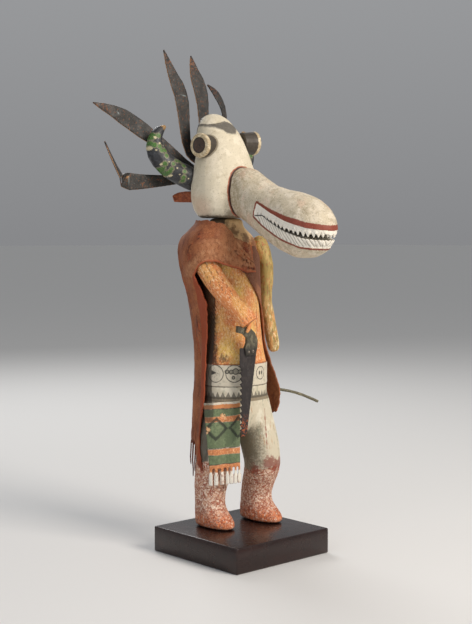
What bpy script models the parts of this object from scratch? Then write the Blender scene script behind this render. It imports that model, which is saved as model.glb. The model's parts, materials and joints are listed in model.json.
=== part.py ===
"""A carved and painted kachina doll on its dark display base.

Metres, +Z up. The origin is the centre of the base's underside. The doll faces -Y and its
right hand is at -X. Every piece is one closed solid with its own material.
"""
import math

import bmesh
import bpy
from mathutils import Matrix, Vector
from mathutils.bvhtree import BVHTree

# Display base
BASE_SIDE = 0.125
BASE_HEIGHT = 0.0254
BASE_EDGE = 0.0010

# Place of the doll on its base, and the clearance between pieces that touch
FIGURE_X = 0.009
FIGURE_Y = 0.020
GAP = 0.0003

# The doll, from its soles to the crown of the mask. The free forms below are written in
# millimetres of a doll of CARVED_HEIGHT, and MM turns them into metres.
FIGURE_HEIGHT = 0.4185
CARVED_HEIGHT = 418.5
MM = FIGURE_HEIGHT / CARVED_HEIGHT

# Low relief of the belt and of the kilt under it
BELT_RELIEF = 0.0009
KILT_RELIEF = 0.0005

# Mask
EYE_DIAMETER = 0.0250
EYE_LENGTH = 0.0125
EYE_ROOT = 0.0060
PUPIL_DIAMETER = 0.0130
PUPIL_DEPTH = 0.0006
TOOTH_PITCH = 0.0058
TOOTH_HEIGHT = 0.0032
MOUTH_SETBACK = 0.0012
HORN_DIAMETER = 0.0235

# Cut blades behind the mask
FEATHER_WIDTH = 0.0180
FEATHER_THICKNESS = 0.0018
TAB_WIDTH = 0.0120
TAB_THICKNESS = 0.0022

# Arms
ARM_DIAMETER = 0.0210
LEFT_ARM_DIAMETER = 0.0155
FINGER_SLIT = 0.0009

# Saw
BLADE_LENGTH = 0.0880
BLADE_WIDTH = 0.0180
BLADE_TIP_WIDTH = 0.0080
BLADE_THICKNESS = 0.0012
SAW_TEETH = 12
SAW_TOOTH_DEPTH = 0.0027
HANDLE_THICKNESS = 0.0056
RIVET_DIAMETER = 0.0030
RIVET_STAND = 0.0006

# Sash board, hide wrap and stick
SASH_THICKNESS = 0.0016
SASH_CLEARANCE = 0.0012
STRAND_COUNT = 7
STRAND_LENGTH = 0.0170
HIDE_THICKNESS = 0.0016
HIDE_CLEARANCE = 0.0012
HIDE_LAP = 0.0010
STICK_DIAMETER = 0.0033

# Facets
BODY_SIDES = 26
LEG_SIDES = 20
HEAD_SIDES = 24
LIMB_SIDES = 12
SHARP_ANGLE = math.radians(35)

# Farther from the doll's axis than any of its pieces, to look for them from
LOOK_FROM = 2 * BASE_SIDE


def clear_scene():
    """Remove the objects that the file opens with."""
    for item in list(bpy.data.objects):
        bpy.data.objects.remove(item)


def make_material(name, colour, roughness):
    """A plain Principled material of the piece's main colour."""
    material = bpy.data.materials.new(name)
    material.use_nodes = True
    shader = material.node_tree.nodes["Principled BSDF"]
    shader.inputs["Base Color"].default_value = (*colour, 1.0)
    shader.inputs["Roughness"].default_value = roughness
    material.diffuse_color = (*colour, 1.0)
    return material


def make_object(name, bm, material=None, parent=None):
    """Turn a bmesh into a named object with outward faces."""
    bmesh.ops.recalc_face_normals(bm, faces=bm.faces)
    mesh = bpy.data.meshes.new(name)
    bm.to_mesh(mesh)
    bm.free()
    mesh.shade_smooth()
    mesh.set_sharp_from_angle(angle=SHARP_ANGLE)
    item = bpy.data.objects.new(name, mesh)
    bpy.context.collection.objects.link(item)
    if material:
        mesh.materials.append(material)
    item.parent = parent
    return item


def track(points, steps):
    """Points on a smooth curve through the given ones, as tuples of any length."""
    points = [tuple(point) for point in points]
    first = tuple(2 * a - b for a, b in zip(points[0], points[1]))
    last = tuple(2 * a - b for a, b in zip(points[-1], points[-2]))
    knots = [first, *points, last]
    result = []
    for step in range(steps + 1):
        place = step / steps * (len(points) - 1)
        index = min(int(place), len(points) - 2)
        t = place - index
        p0, p1, p2, p3 = knots[index:index + 4]
        result.append(tuple(
            0.5 * (2 * b + (c - a) * t + (2 * a - 5 * b + 4 * c - d) * t ** 2
                   + (3 * b - a - 3 * c + d) * t ** 3)
            for a, b, c, d in zip(p0, p1, p2, p3)))
    return result


def blend_table(table, key):
    """Read a value between the rows of a short table of (key, value)."""
    if key <= table[0][0]:
        return table[0][1]
    for (low, a), (high, b) in zip(table, table[1:]):
        if key <= high:
            return a + (b - a) * (key - low) / (high - low)
    return table[-1][1]


def oval(centre, side, up, half_side, half_up, power, sides):
    """A closed ring of points: a circle, an ellipse or a squarer oval."""
    ring = []
    for index in range(sides):
        angle = 2 * math.pi * index / sides
        c = math.cos(angle)
        s = math.sin(angle)
        ring.append(centre
                    + side * (half_side * math.copysign(abs(c) ** (2 / power), c))
                    + up * (half_up * math.copysign(abs(s) ** (2 / power), s)))
    return ring


def loft(rings):
    """A closed skin over rings of equal count, capped at both ends."""
    bm = bmesh.new()
    rows = [[bm.verts.new(point) for point in ring] for ring in rings]
    for lower, upper in zip(rows, rows[1:]):
        for index, vertex in enumerate(lower):
            after = (index + 1) % len(lower)
            bm.faces.new((vertex, lower[after], upper[after], upper[index]))
    for row in (rows[0], rows[-1]):
        middle = bm.verts.new(sum((v.co for v in row), Vector()) / len(row))
        for index, vertex in enumerate(row):
            bm.faces.new((vertex, row[(index + 1) % len(row)], middle))
    return bm


def level_rings(stations, sides, power=2.0):
    """Level ovals up the Z axis, from stations of x, y, z, half width and half depth."""
    rings = []
    for x, y, z, half_width, half_depth in stations:
        rings.append(oval(Vector((x, y, z)) * MM, Vector((1, 0, 0)), Vector((0, 1, 0)),
                          half_width * MM, half_depth * MM, power, sides))
    return rings


def sweep(stations, sides, facings, power=2.0):
    """Rings along a path, from stations of x, y, z, half width and half depth.

    The depth lies along each station's facing as nearly as the path allows, and the width
    across it.
    """
    places = [Vector(station[:3]) * MM for station in stations]
    rings = []
    for index, station in enumerate(stations):
        before = places[max(index - 1, 0)]
        after = places[min(index + 1, len(places) - 1)]
        along = (after - before).normalized()
        side = along.cross(facings[index]).normalized()
        up = side.cross(along).normalized()
        rings.append(oval(places[index], side, up, station[3] * MM, station[4] * MM,
                          power, sides))
    return rings


def plate(outline, thickness, place):
    """A flat plate with the given outline (u, v), set in space by a matrix."""
    bm = bmesh.new()
    front = [bm.verts.new((u, -thickness / 2, v)) for u, v in outline]
    face = bm.faces.new(front)
    grown_part = bmesh.ops.extrude_face_region(bm, geom=[face])
    back = [g for g in grown_part["geom"] if isinstance(g, bmesh.types.BMVert)]
    bmesh.ops.translate(bm, verts=back, vec=(0, thickness, 0))
    bmesh.ops.transform(bm, verts=bm.verts, matrix=place)
    bmesh.ops.triangulate(bm, faces=[f for f in bm.faces if len(f.verts) > 4])
    return bm


def grown(item, distance):
    """A copy of a piece, larger all round by a distance, to cut its neighbour with."""
    bm = bmesh.new()
    bm.from_mesh(item.data)
    bmesh.ops.triangulate(bm, faces=bm.faces)
    bm.normal_update()
    moves = [(vertex, vertex.normal * distance) for vertex in bm.verts]
    for vertex, move in moves:
        vertex.co += move
    return make_object(item.name + "_cutter", bm, parent=item.parent)


def shape_with(target, tool, operation="DIFFERENCE"):
    """Cut, join or trim a piece with a tool, which is used up."""
    step = target.modifiers.new(operation.lower(), "BOOLEAN")
    step.operation = operation
    step.solver = "EXACT"
    step.object = tool
    bpy.context.view_layer.update()
    graph = bpy.context.evaluated_depsgraph_get()
    mesh = bpy.data.meshes.new_from_object(target.evaluated_get(graph))
    target.modifiers.clear()
    target.data = mesh
    bpy.data.objects.remove(tool)


def seat_against(piece, carrier, clearance=GAP):
    """Cut a piece to the surface that carries it, less the clearance."""
    shape_with(piece, grown(carrier, clearance))


def box_tool(size, place, parent):
    """A box to cut with, of a size and at a matrix."""
    bm = bmesh.new()
    bmesh.ops.create_cube(bm, size=1.0, matrix=Matrix.Diagonal((*size, 1.0)))
    bmesh.ops.transform(bm, verts=bm.verts, matrix=place)
    return make_object("box_tool", bm, parent=parent)


def turned_to(direction, place):
    """A matrix whose Z axis looks along a direction, at a place."""
    turn = Vector(direction).to_track_quat("Z", "Y").to_matrix().to_4x4()
    return Matrix.Translation(place) @ turn


def build_base():
    """The dark square base, with a fine eased edge."""
    bm = bmesh.new()
    bmesh.ops.create_cube(bm, size=1.0)
    bmesh.ops.scale(bm, verts=bm.verts, vec=(BASE_SIDE, BASE_SIDE, BASE_HEIGHT))
    bmesh.ops.translate(bm, verts=bm.verts, vec=(0, 0, BASE_HEIGHT / 2))
    bmesh.ops.bevel(bm, geom=bm.edges[:], offset=BASE_EDGE, offset_type="OFFSET",
                    affect="EDGES", segments=1, profile=0.5, material=-1,
                    clamp_overlap=True)
    return make_object("base", bm, make_material("black_lacquer", (0.023, 0.010, 0.009), 0.3))


# Torso, from the crotch up: forward place, height, half width, half depth
HIPS = [(0, 0, 96, 24, 19), (0, -1, 103, 31, 25), (0, -1, 114, 34, 28), (0, 0, 126, 34.6, 28.6)]
BELT_LOW = 144
BELT_HIGH = 165
WAIST = (0, 0, 34.6, 28.6)
CHEST = [(0, 1.5, 178, 32.5, 27.4), (0, 2.5, 192, 31, 26.8), (0, 4.5, 215, 30, 26.2),
         (0, 6, 240, 30, 25.8), (0, 7.5, 262, 31, 25.2), (0, 9, 278, 33, 24),
         (0, 10, 288, 32.5, 22), (0, 11, 295, 28, 19.5), (0, 12, 300, 22, 17),
         (0, 12.5, 303, 18, 16)]
NECK_TOP = (0, 12.5, 17.5, 15.5)
HEAD_LOW = 311.5

# Legs, from the sole up: place across, place forward, height, half width, half depth
RIGHT_LEG = [(-28, -2, 0, 12.6, 24.6), (-28, -2, 2.5, 14, 26), (-28, -1, 8, 14.3, 24.4),
             (-28, 2.5, 14, 14.2, 20.6), (-28, 5.4, 20, 14.4, 16.6), (-28, 6.2, 27, 14.8, 15.2),
             (-28, 5.2, 36, 15.8, 16), (-27.5, 3.6, 48, 17, 17.4), (-26, 2.4, 60, 18, 18.4),
             (-22.5, 2.5, 80, 19.6, 20), (-19, 2.5, 100, 20, 21), (-16, 2, 120, 18, 20)]
LEFT_LEG = [(29.5, -9, 0, 14, 26.4), (29.5, -9, 2.5, 15.6, 28), (29.5, -8, 8, 15.6, 26),
            (29.2, -4.5, 14, 15, 21.6), (29, -2, 20, 14.8, 17.4), (28.6, -2.2, 27, 15.2, 16),
            (28.2, -5.6, 38, 16.4, 17), (27.6, -11, 50, 17.4, 18.2), (27, -13.6, 60, 18, 18.6),
            (24.4, -12, 80, 19.6, 20), (20.5, -8.6, 100, 20.4, 21), (17, -5, 118, 20.6, 22),
            (14.5, -3, 132, 20, 23)]


def build_body(figure):
    """Torso, legs and feet, carved from one root, with the belt and kilt in low relief."""
    belt = BELT_RELIEF / MM
    kilt = KILT_RELIEF / MM
    x, y, width, depth = WAIST
    torso = HIPS[:-1]
    for height, stand in ((HIPS[-1][2] - 0.6, 0), (HIPS[-1][2], kilt), (BELT_LOW - 0.5, kilt),
                          (BELT_LOW, belt), (BELT_HIGH, belt), (BELT_HIGH + 0.6, 0)):
        torso.append((x, y, height, width + stand, depth + stand))
    torso += CHEST
    x, y, width, depth = NECK_TOP
    torso.append((x, y, HEAD_LOW - GAP / MM, width, depth))
    wood = make_material("painted_root_wood", (0.66, 0.30, 0.12), 0.7)
    body = make_object("body", loft(level_rings(torso, BODY_SIDES, 2.15)), wood, figure)
    for leg in (RIGHT_LEG, LEFT_LEG):
        limb = make_object("leg", loft(level_rings(leg, LEG_SIDES, 2.2)), parent=figure)
        shape_with(body, limb, "UNION")
    return body


# Mask, from its rim up: place across, place forward, height, half width, half depth
HEAD = [(0, 12, HEAD_LOW, 27, 24), (0, 12, 313.5, 30.5, 27), (0, 12.5, 320, 34.5, 30.2),
        (0, 13, 331, 37, 32.4), (0, 13.4, 344, 36.6, 32), (0, 14.6, 354, 34.4, 30.2),
        (0, 16, 363, 31.6, 27.8), (0, 17.8, 376, 28, 25.2), (0, 21.4, 389, 25, 23),
        (0, 25.2, 399, 22, 20.6), (0, 28.8, 407, 18, 17.4), (0, 31, 413, 13.6, 13.2),
        (0, 32, 416.8, 8.4, 8.2), (0, 32, CARVED_HEIGHT, 2.6, 2.5)]


def build_head(figure):
    """The upper part of the case mask, which rests on the neck."""
    wood = make_material("cream_paint", (0.69, 0.60, 0.45), 0.6)
    return make_object("head", loft(level_rings(HEAD, HEAD_SIDES, 2.1)), wood, figure)


# Snout, from inside the face to the tip: forward place, height, half width, half height
SNOUT = [(-4, 338, 19, 24), (-16, 336, 20.6, 26), (-27, 332.6, 21.6, 27.6),
         (-40, 324.6, 22.4, 27.4), (-56, 315.6, 24, 27.8), (-75, 308.4, 26.4, 30),
         (-94, 303.6, 27.6, 31.6), (-110, 301.2, 25.8, 29), (-121, 300, 21.6, 23.6),
         (-129, 299.4, 15.4, 16.4), (-133.6, 299, 8.4, 8.8), (-135.4, 299, 2.4, 2.4)]
# Lips: forward place and height of the upper and of the lower edge of the open mouth
UPPER_LIP = [(-140, 297), (-122, 300.4), (-100, 306.8), (-77, 315.8), (-57, 324.6)]
LOWER_LIP = [(-53.5, 312.6), (-67, 303.6), (-90, 291.8), (-113, 283), (-140, 279.6)]
# The line on which the two rows of teeth meet, and the open gap between them
BITE = [(-140, 290.6), (-118, 292.6), (-97, 299), (-78, 307), (-66, 313)]
BITE_OPEN = [(-140, 4.6), (-118, 4.2), (-97, 2.6), (-78, 1.2), (-66, 0.9)]


def snout_skin(inset):
    """The snout's rings, drawn in by an inset."""
    rings = []
    for y, z, half_width, half_height in SNOUT:
        width = max(half_width * MM - inset, 0.0004)
        height = max(half_height * MM - inset, 0.0004)
        rings.append(oval(Vector((0, y, z)) * MM, Vector((1, 0, 0)), Vector((0, 0, 1)),
                          width, height, 2.1, HEAD_SIDES))
    return loft(rings)


def mouth_tool(name, outline, figure):
    """A prism right across the snout, from a side outline of forward place and height."""
    reach = 3 * SNOUT[6][2] * MM
    side = Matrix.Rotation(math.radians(90), 4, "Z")
    points = [(y * MM, z * MM) for y, z in outline]
    return make_object(name, plate(points, reach, side), parent=figure)


def tooth_edge():
    """The gap between the teeth: a zigzag upper edge and a plain lower one."""
    pitch = TOOTH_PITCH / MM
    upper = []
    y = BITE[0][0]
    while y < BITE[-1][0] - pitch:
        for place, tooth in ((y, 0), (y + pitch / 2, TOOTH_HEIGHT / MM)):
            half = blend_table(BITE_OPEN, place) / 2
            upper.append((place, blend_table(BITE, place) + half + min(tooth, 3 * half)))
        y += pitch
    lower = [(y, z - blend_table(BITE_OPEN, y) / 2) for y, z in reversed(BITE)]
    return [*upper, *lower]


def build_snout(figure, head):
    """The long muzzle with two rows of teeth set back in an open mouth."""
    wood = make_material("cream_muzzle_paint", (0.60, 0.49, 0.34), 0.6)
    snout = make_object("snout", snout_skin(0.0), wood, figure)
    recess = mouth_tool("mouth", [*UPPER_LIP, *LOWER_LIP], figure)
    shape_with(recess, make_object("teeth", snout_skin(MOUTH_SETBACK), parent=figure))
    shape_with(snout, recess)
    shape_with(snout, mouth_tool("bite", tooth_edge(), figure))
    seat_against(snout, head)
    return snout


# Middle of each eye's face, and the way that the right one looks
RIGHT_EYE = (-37.0, 11.6, 383.6)
LEFT_EYE = (39.5, 10.6, 389.0)
EYE_AXIS = Vector((-0.985, -0.17, 0.0))


def build_eye(name, place, side, figure, head):
    """A round peg with a shallow pupil cut in its face; side is 1 on the right, -1 left."""
    radius = EYE_DIAMETER / 2
    pupil = PUPIL_DIAMETER / 2
    profile = [(-EYE_ROOT, 0.84 * radius), (EYE_LENGTH - EYE_ROOT, 0.93 * radius),
               (EYE_LENGTH - 0.0022, radius), (EYE_LENGTH - 0.0006, 0.95 * radius),
               (EYE_LENGTH, 0.84 * radius), (EYE_LENGTH, pupil + 0.0004),
               (EYE_LENGTH - PUPIL_DEPTH, pupil)]
    axis = Vector((EYE_AXIS.x * side, EYE_AXIS.y, 0)).normalized()
    across = Vector((-axis.y, axis.x, 0))
    face = Vector(place) * MM
    rings = []
    for along, reach in profile:
        centre = face + axis * (along - EYE_LENGTH)
        rings.append(oval(centre, across, Vector((0, 0, 1)), reach, reach, 2.0, 18))
    paint = make_material(name + "_paint", (0.10, 0.08, 0.07), 0.5)
    eye = make_object(name, loft(rings), paint, figure)
    seat_against(eye, head)
    return eye


# Horn of the right side: place across, forward, height, and share of its full thickness
HORN = [(-21, 34, 349, 1.0), (-33, 39, 354.5, 1.0), (-46, 44, 361.5, 0.96),
        (-57, 48, 371, 0.9), (-62.6, 50, 382, 0.78), (-62, 49, 393, 0.6),
        (-57.5, 47, 400, 0.4), (-52, 45, 404, 0.12)]


def build_horn(name, side, figure, head):
    """A thick crescent horn; side is 1 on the right, -1 on the left."""
    radius = HORN_DIAMETER / 2 / MM
    stations = []
    for x, y, z, share in track(HORN, 12):
        stations.append((x * side, y, z, share * radius, share * radius))
    horn_paint = make_material(name + "_paint", (0.03, 0.04, 0.03), 0.5)
    horn = make_object(name, loft(sweep(stations, LIMB_SIDES, [FRONT] * len(stations))),
                       horn_paint, figure)
    seat_against(horn, head)
    return horn


# Middle lines of the cut blades, root first, and the way that each blade's flat faces at
# its root and, past its bend, at its tip
FRONT = Vector((0, -1, 0))
ASIDE = Vector((0.74, -0.673, 0))
HALF_ASIDE = Vector((0.56, -0.83, 0))
FEATHERS = [
    ([(-4.5, 36, 364), (-9.5, 49, 371), (-15, 54.5, 382), (-17.8, 57, 408),
      (-18.4, 59, 429), (-21.5, 61, 444), (-29.2, 64, 462), (-36.2, 68, 484)], FRONT, FRONT),
    ([(1.5, 36, 368), (2.6, 48.5, 380), (3.6, 51, 402), (3.4, 52.5, 430), (0.6, 54, 447),
      (-4, 57, 463), (-6.6, 60, 480)], FRONT, FRONT),
    ([(8.5, 36, 366), (17, 46, 378), (26, 48.5, 396), (31.5, 50, 420), (26.5, 52, 436),
      (20, 55, 446), (15, 59, 452)], HALF_ASIDE, HALF_ASIDE),
    ([(-10, 38, 358.5), (-19, 51, 366.5), (-43, 58.5, 384), (-69, 66, 402),
      (-93, 72, 416), (-117, 80, 425.5)], FRONT, FRONT),
    ([(-9, 38, 350.5), (-19, 51.5, 351.5), (-34, 56, 350.6), (-52, 60.5, 349.2), (-72, 64, 348),
      (-86, 66.5, 348.5), (-92, 68, 354), (-99, 70.5, 368), (-107.5, 73.5, 387.5)], FRONT, ASIDE)]
BEND_START = 0.62
BEND_END = 0.75
FEATHER_SHARE = [(0, 0.26), (0.15, 0.42), (0.35, 0.68), (0.6, 1.0), (0.75, 0.92), (0.9, 0.5),
                 (1.0, 0.06)]


def build_feather(number, figure, head):
    """One stiff blade, leaf shaped, with square cut edges."""
    path, root_facing, tip_facing = FEATHERS[number - 1]
    steps = 12
    stations = []
    facings = []
    for index, (x, y, z) in enumerate(track(path, steps)):
        width = FEATHER_WIDTH / MM * blend_table(FEATHER_SHARE, index / steps)
        stations.append((x, y, z, width / 2, FEATHER_THICKNESS / MM / 2))
        turned = blend_table([(BEND_START, 0.0), (BEND_END, 1.0)], index / steps)
        facings.append(root_facing.lerp(tip_facing, turned))
    corners = []
    for ring in sweep(stations, 4, facings):
        side = ring[0] - ring[2]
        up = ring[1] - ring[3]
        centre = (ring[0] + ring[2]) / 2
        corners.append([centre + side / 2 + up / 2, centre - side / 2 + up / 2,
                        centre - side / 2 - up / 2, centre + side / 2 - up / 2])
    name = f"feather_{number}"
    dark = make_material(name + "_paint", (0.025, 0.022, 0.02), 0.6)
    feather = make_object(name, loft(corners), dark, figure)
    seat_against(feather, head)
    return feather


# Leather tab: place across, forward, height, and share of its half width
TAB = [(-14, 38, 333.5, 1.0), (-21, 50, 333.6, 1.0), (-26, 56.5, 333, 0.88),
       (-30.5, 60, 331.5, 0.6)]
TAB_FACING = Vector((-0.74, -0.673, 0))


def build_tab(figure, head):
    """The short leather tab that stands out behind the mask."""
    half_width = TAB_WIDTH / 2 / MM
    half_depth = TAB_THICKNESS / 2 / MM
    stations = [(x, y, z, share * half_width, half_depth) for x, y, z, share in track(TAB, 6)]
    leather = make_material("red_brown_leather", (0.28, 0.08, 0.03), 0.7)
    tab = make_object("head_tab", loft(sweep(stations, 8, [TAB_FACING] * len(stations), 4.0)),
                      leather, figure)
    seat_against(tab, head)
    return tab


# Arms: place across, forward, height, share of the arm's thickness across and in depth
RIGHT_ARM = [(-33, 10.5, 291, 0.5, 0.5), (-37, 9.5, 287, 0.9, 0.9), (-40.5, 7, 276, 1.08, 1.1),
             (-38, -1, 263, 1.12, 1.12), (-34.5, -10, 249, 1.06, 1.06), (-30, -19.5, 236, 1.0, 1.0),
             (-25, -30, 224, 0.84, 0.84), (-21.5, -36.5, 216.5, 0.9, 0.72),
             (-19.5, -40, 211.5, 0.94, 0.62), (-18, -42.5, 208, 0.84, 0.5)]
RIGHT_ARM_FACING = Vector((-0.5, -0.7, 0.5))
# Slits between the fingers, as shares of the arm's thickness, and the thumb over the saw
FINGER_PLACES = (-0.3, -0.1, 0.1, 0.3)
FINGER_LENGTH = 0.0110
THUMB = [(-16.5, -39, 211, 1.9, 1.9), (-17.8, -42, 206.5, 2.2, 2.1), (-20, -42.8, 202, 2.1, 1.9),
         (-22, -42.4, 198.6, 1.4, 1.2)]
LEFT_ARM = [(38.5, 8, 293, 0.5, 0.5), (39.6, 6.4, 288.5, 1.0, 0.9), (41, 4, 281, 1.16, 1.1),
            (44.6, 0.4, 264, 1.0, 1.0), (45, 0, 244, 0.92, 0.94), (44, 1, 230, 0.86, 0.9),
            (45, -1, 216, 0.9, 0.9), (47.2, -3.6, 198, 0.86, 0.86), (49, -5.6, 184, 0.9, 0.82),
            (50, -6.6, 176.5, 0.84, 0.6), (50.4, -7, 173, 0.5, 0.34)]


def arm_rings(stations, diameter, facing):
    """Rings of an arm of a given thickness, along its stations."""
    half = diameter / 2 / MM
    swept = [(x, y, z, half * wide, half * deep) for x, y, z, wide, deep in stations]
    return sweep(swept, LIMB_SIDES, [facing] * len(swept), 2.2)


def build_right_arm(figure, body):
    """The bent right arm, whose fist closes on the saw's handle."""
    skin = make_material("arm_paint", (0.70, 0.30, 0.12), 0.7)
    facing = RIGHT_ARM_FACING
    stations = track(RIGHT_ARM, 12)
    arm = make_object("arm_right", loft(arm_rings(stations, ARM_DIAMETER, facing)), skin, figure)
    hand = Vector(RIGHT_ARM[-1][:3]) * MM
    along = (hand - Vector(RIGHT_ARM[-3][:3]) * MM).normalized()
    side = along.cross(facing).normalized()
    for share in FINGER_PLACES:
        frame = Matrix((side, along, side.cross(along))).transposed().to_4x4()
        frame.translation = hand + side * (share * ARM_DIAMETER)
        size = (FINGER_SLIT, FINGER_LENGTH, ARM_DIAMETER)
        shape_with(arm, box_tool(size, frame, figure))
    thumb = sweep(THUMB, 8, [facing] * len(THUMB))
    shape_with(arm, make_object("thumb", loft(thumb), parent=figure), "UNION")
    seat_against(arm, body)
    return arm


def build_left_arm(figure, body):
    """The hanging left arm."""
    skin = make_material("left_arm_paint", (0.45, 0.33, 0.12), 0.7)
    stations = track(LEFT_ARM, 13)
    rings = arm_rings(stations, LEFT_ARM_DIAMETER, FRONT)
    arm = make_object("arm_left", loft(rings), skin, figure)
    seat_against(arm, body)
    return arm


# Saw: middle of the blade's top edge, and the side that its flat faces
SAW_TOP = Vector((-16.4, -38.5, 183.0))
SAW_FACING = math.radians(-22.8)
# Handle outline: place across and height, from the blade's top edge
HANDLE = [(-12, 22), (1, 20.5), (6.5, 15), (9.2, 8), (9, 1), (7, -7), (-3, -7.4), (-4.4, 0),
          (-2.4, 5), (-2.4, 10), (-6, 14), (-12.2, 15.4)]
RIVETS = [(-0.6, -4.0), (3.6, -3.2)]


def saw_place():
    """The matrix that sets the saw's own plane in front of the right hip."""
    return Matrix.Translation(SAW_TOP * MM) @ Matrix.Rotation(SAW_FACING, 4, "Z")


def blade_outline():
    """A straight back, a slanted tip and a row of teeth on the left edge."""
    half = BLADE_WIDTH / 2
    smooth_top = 0.19 * BLADE_LENGTH
    pitch = (BLADE_LENGTH - smooth_top) / (SAW_TEETH + 0.5)
    left = -half
    outline = [(half, 0.0), (left + BLADE_TIP_WIDTH, -0.95 * BLADE_LENGTH),
               (left + 0.6 * BLADE_TIP_WIDTH, -BLADE_LENGTH), (left, -BLADE_LENGTH)]
    for tooth in range(SAW_TEETH):
        height = -BLADE_LENGTH + (tooth + 0.4) * pitch
        outline.append((left + SAW_TOOTH_DEPTH, height))
        outline.append((left, height + 0.8 * pitch))
    outline += [(left, -smooth_top), (left, 0.0)]
    return outline


def build_saw(figure, arm):
    """The small saw: a thin toothed blade in the slot of a pistol grip."""
    iron = make_material("dark_blade", (0.02, 0.016, 0.015), 0.45)
    place = saw_place()
    blade = make_object("saw_blade", plate(blade_outline(), BLADE_THICKNESS, place), iron,
                        figure)
    wood = make_material("saw_handle_wood", (0.10, 0.09, 0.05), 0.6)
    points = [(u * MM, v * MM) for u, v in HANDLE]
    handle = make_object("saw_handle", plate(points, HANDLE_THICKNESS, place), wood, figure)
    for u, v in RIVETS:
        bm = bmesh.new()
        bmesh.ops.create_cone(bm, cap_ends=True, segments=12, radius1=RIVET_DIAMETER / 2,
                              radius2=RIVET_DIAMETER / 3,
                              depth=HANDLE_THICKNESS / 2 + RIVET_STAND)
        centre = Vector((u * MM, -HANDLE_THICKNESS / 4 - RIVET_STAND / 2, v * MM))
        bmesh.ops.transform(bm, verts=bm.verts,
                            matrix=place @ turned_to((0, -1, 0), centre))
        shape_with(handle, make_object("rivet", bm, parent=figure), "UNION")
    shape_with(handle, grown(blade, GAP))
    seat_against(handle, arm)
    return blade, handle


class Carrier:
    """Finds how far pieces reach from the doll's upright axis."""

    def __init__(self, pieces, axis):
        bm = bmesh.new()
        for piece in pieces:
            bm.from_mesh(piece.data)
        bmesh.ops.triangulate(bm, faces=bm.faces)
        self.tree = BVHTree.FromBMesh(bm)
        self.axis = axis
        bm.free()

    def reach(self, degrees, height):
        """The farthest surface from the axis; degrees turn from the front to the left."""
        angle = math.radians(degrees)
        out = Vector((math.sin(angle), -math.cos(angle), 0))
        start = self.axis + Vector((0, 0, height)) + out * LOOK_FROM
        hit = self.tree.ray_cast(start, -out, LOOK_FROM)
        return LOOK_FROM - hit[3] if hit[0] else 0.0


def polar(axis, degrees, radius, height):
    """A point at a turn and a distance from an upright axis."""
    angle = math.radians(degrees)
    return axis + Vector((math.sin(angle) * radius, -math.cos(angle) * radius, height))


def thick_sheet(grid, faces, thickness):
    """A closed sheet: the given surface, and a copy moved outward by the thickness."""
    bm = bmesh.new()
    verts = {key: bm.verts.new(point) for key, point in grid.items()}
    for corners in faces:
        bm.faces.new([verts[key] for key in corners])
    bm.normal_update()
    inner = list(bm.verts)
    rims = [edge for edge in bm.edges if edge.is_boundary]
    outer = {v: bm.verts.new(v.co + v.normal * thickness) for v in inner}
    for face in list(bm.faces):
        bm.faces.new([outer[v] for v in face.verts])
    for edge in rims:
        a, b = edge.verts
        bm.faces.new((a, b, outer[b], outer[a]))
    return bm


# Sash: the turn of its front and back edge from the front of the doll, and its heights
SASH_FRONT = -31
SASH_BACK = -86
SASH_BACK_LOW = -76
SASH_HIGH = 127.5
SASH_LOW = 61.5
SASH_RISE = 2.5
SASH_AXIS = Vector((0, 0, 0))


def build_sash(figure, body):
    """A thin painted board on the right hip, with a fringe of strands hanging free."""
    carrier = Carrier([body], SASH_AXIS)
    columns = 2 * STRAND_COUNT - 1
    rows = 4
    strand = STRAND_LENGTH / MM
    heights = [SASH_HIGH + (SASH_LOW - SASH_HIGH) * j / rows for j in range(rows + 1)]
    heights += [SASH_LOW - strand / 2, SASH_LOW - strand]
    grid = {}
    faces = []
    for i in range(columns + 1):
        share = i / columns
        top = SASH_FRONT + (SASH_BACK - SASH_FRONT) * share
        low = SASH_FRONT + (SASH_BACK_LOW - SASH_FRONT) * share
        reach = max(carrier.reach(turn, z * MM) for z in heights for turn in (top, low))
        for j, height in enumerate(heights):
            turn = top + (low - top) * min(j / rows, 1)
            rise = SASH_RISE * (1 - share)
            grid[i, j] = polar(SASH_AXIS, turn, reach + SASH_CLEARANCE, (height + rise) * MM)
    for i in range(columns):
        for j in range(len(heights) - 1):
            if j < rows or i % 2 == 0:
                faces.append(((i, j), (i, j + 1), (i + 1, j + 1), (i + 1, j)))
    used = {key for corners in faces for key in corners}
    grid = {key: point for key, point in grid.items() if key in used}
    paint = make_material("sash_paint", (0.13, 0.17, 0.07), 0.7)
    sash = make_object("sash", thick_sheet(grid, faces, SASH_THICKNESS), paint, figure)
    seat_against(sash, body)
    return sash


# Hide wrap. Turns go from the doll's front round by its left side, back and right side.
# It starts on the chest under the flap, and ends in the flap's ragged edge.
HIDE_AXIS = Vector((0, 4, 0)) * MM
HIDE_START = -30
HIDE_LEFT = 45
HIDE_RIGHT = 272
HIDE_END = 374
UPPER_COLUMNS = 6
HIDE_COLUMNS = 18
FLAP_COLUMNS = 9
UPPER_ROWS = 6
LOWER_ROWS = 10
# Where the flap begins to lie over the first layer
LAP_TURNS = [(298, 0.0), (326, 1.0)]
# Heights of the top edge and of the line where the arm comes out, by turn
HIDE_TOP = [(-30, 291), (8, 286.6), (45, 281.4), (62, 272), (75, 266), (90, 263),
            (105, 266), (120, 274), (150, 292), (180, 304), (215, 308.5), (272, 309),
            (300, 306), (326, 292), (339, 284.6), (352, 277.6), (370, 270), (374, 264)]
HIDE_MIDDLE = [(-30, 262), (-4, 254.6), (5, 248.5), (16, 242.3), (30, 235), (45, 225),
               (90, 214), (180, 230), (272, 254), (280, 264), (287, 268), (298, 268),
               (305, 265), (318, 262), (335, 260), (353, 256.7), (374, 257)]
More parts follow.
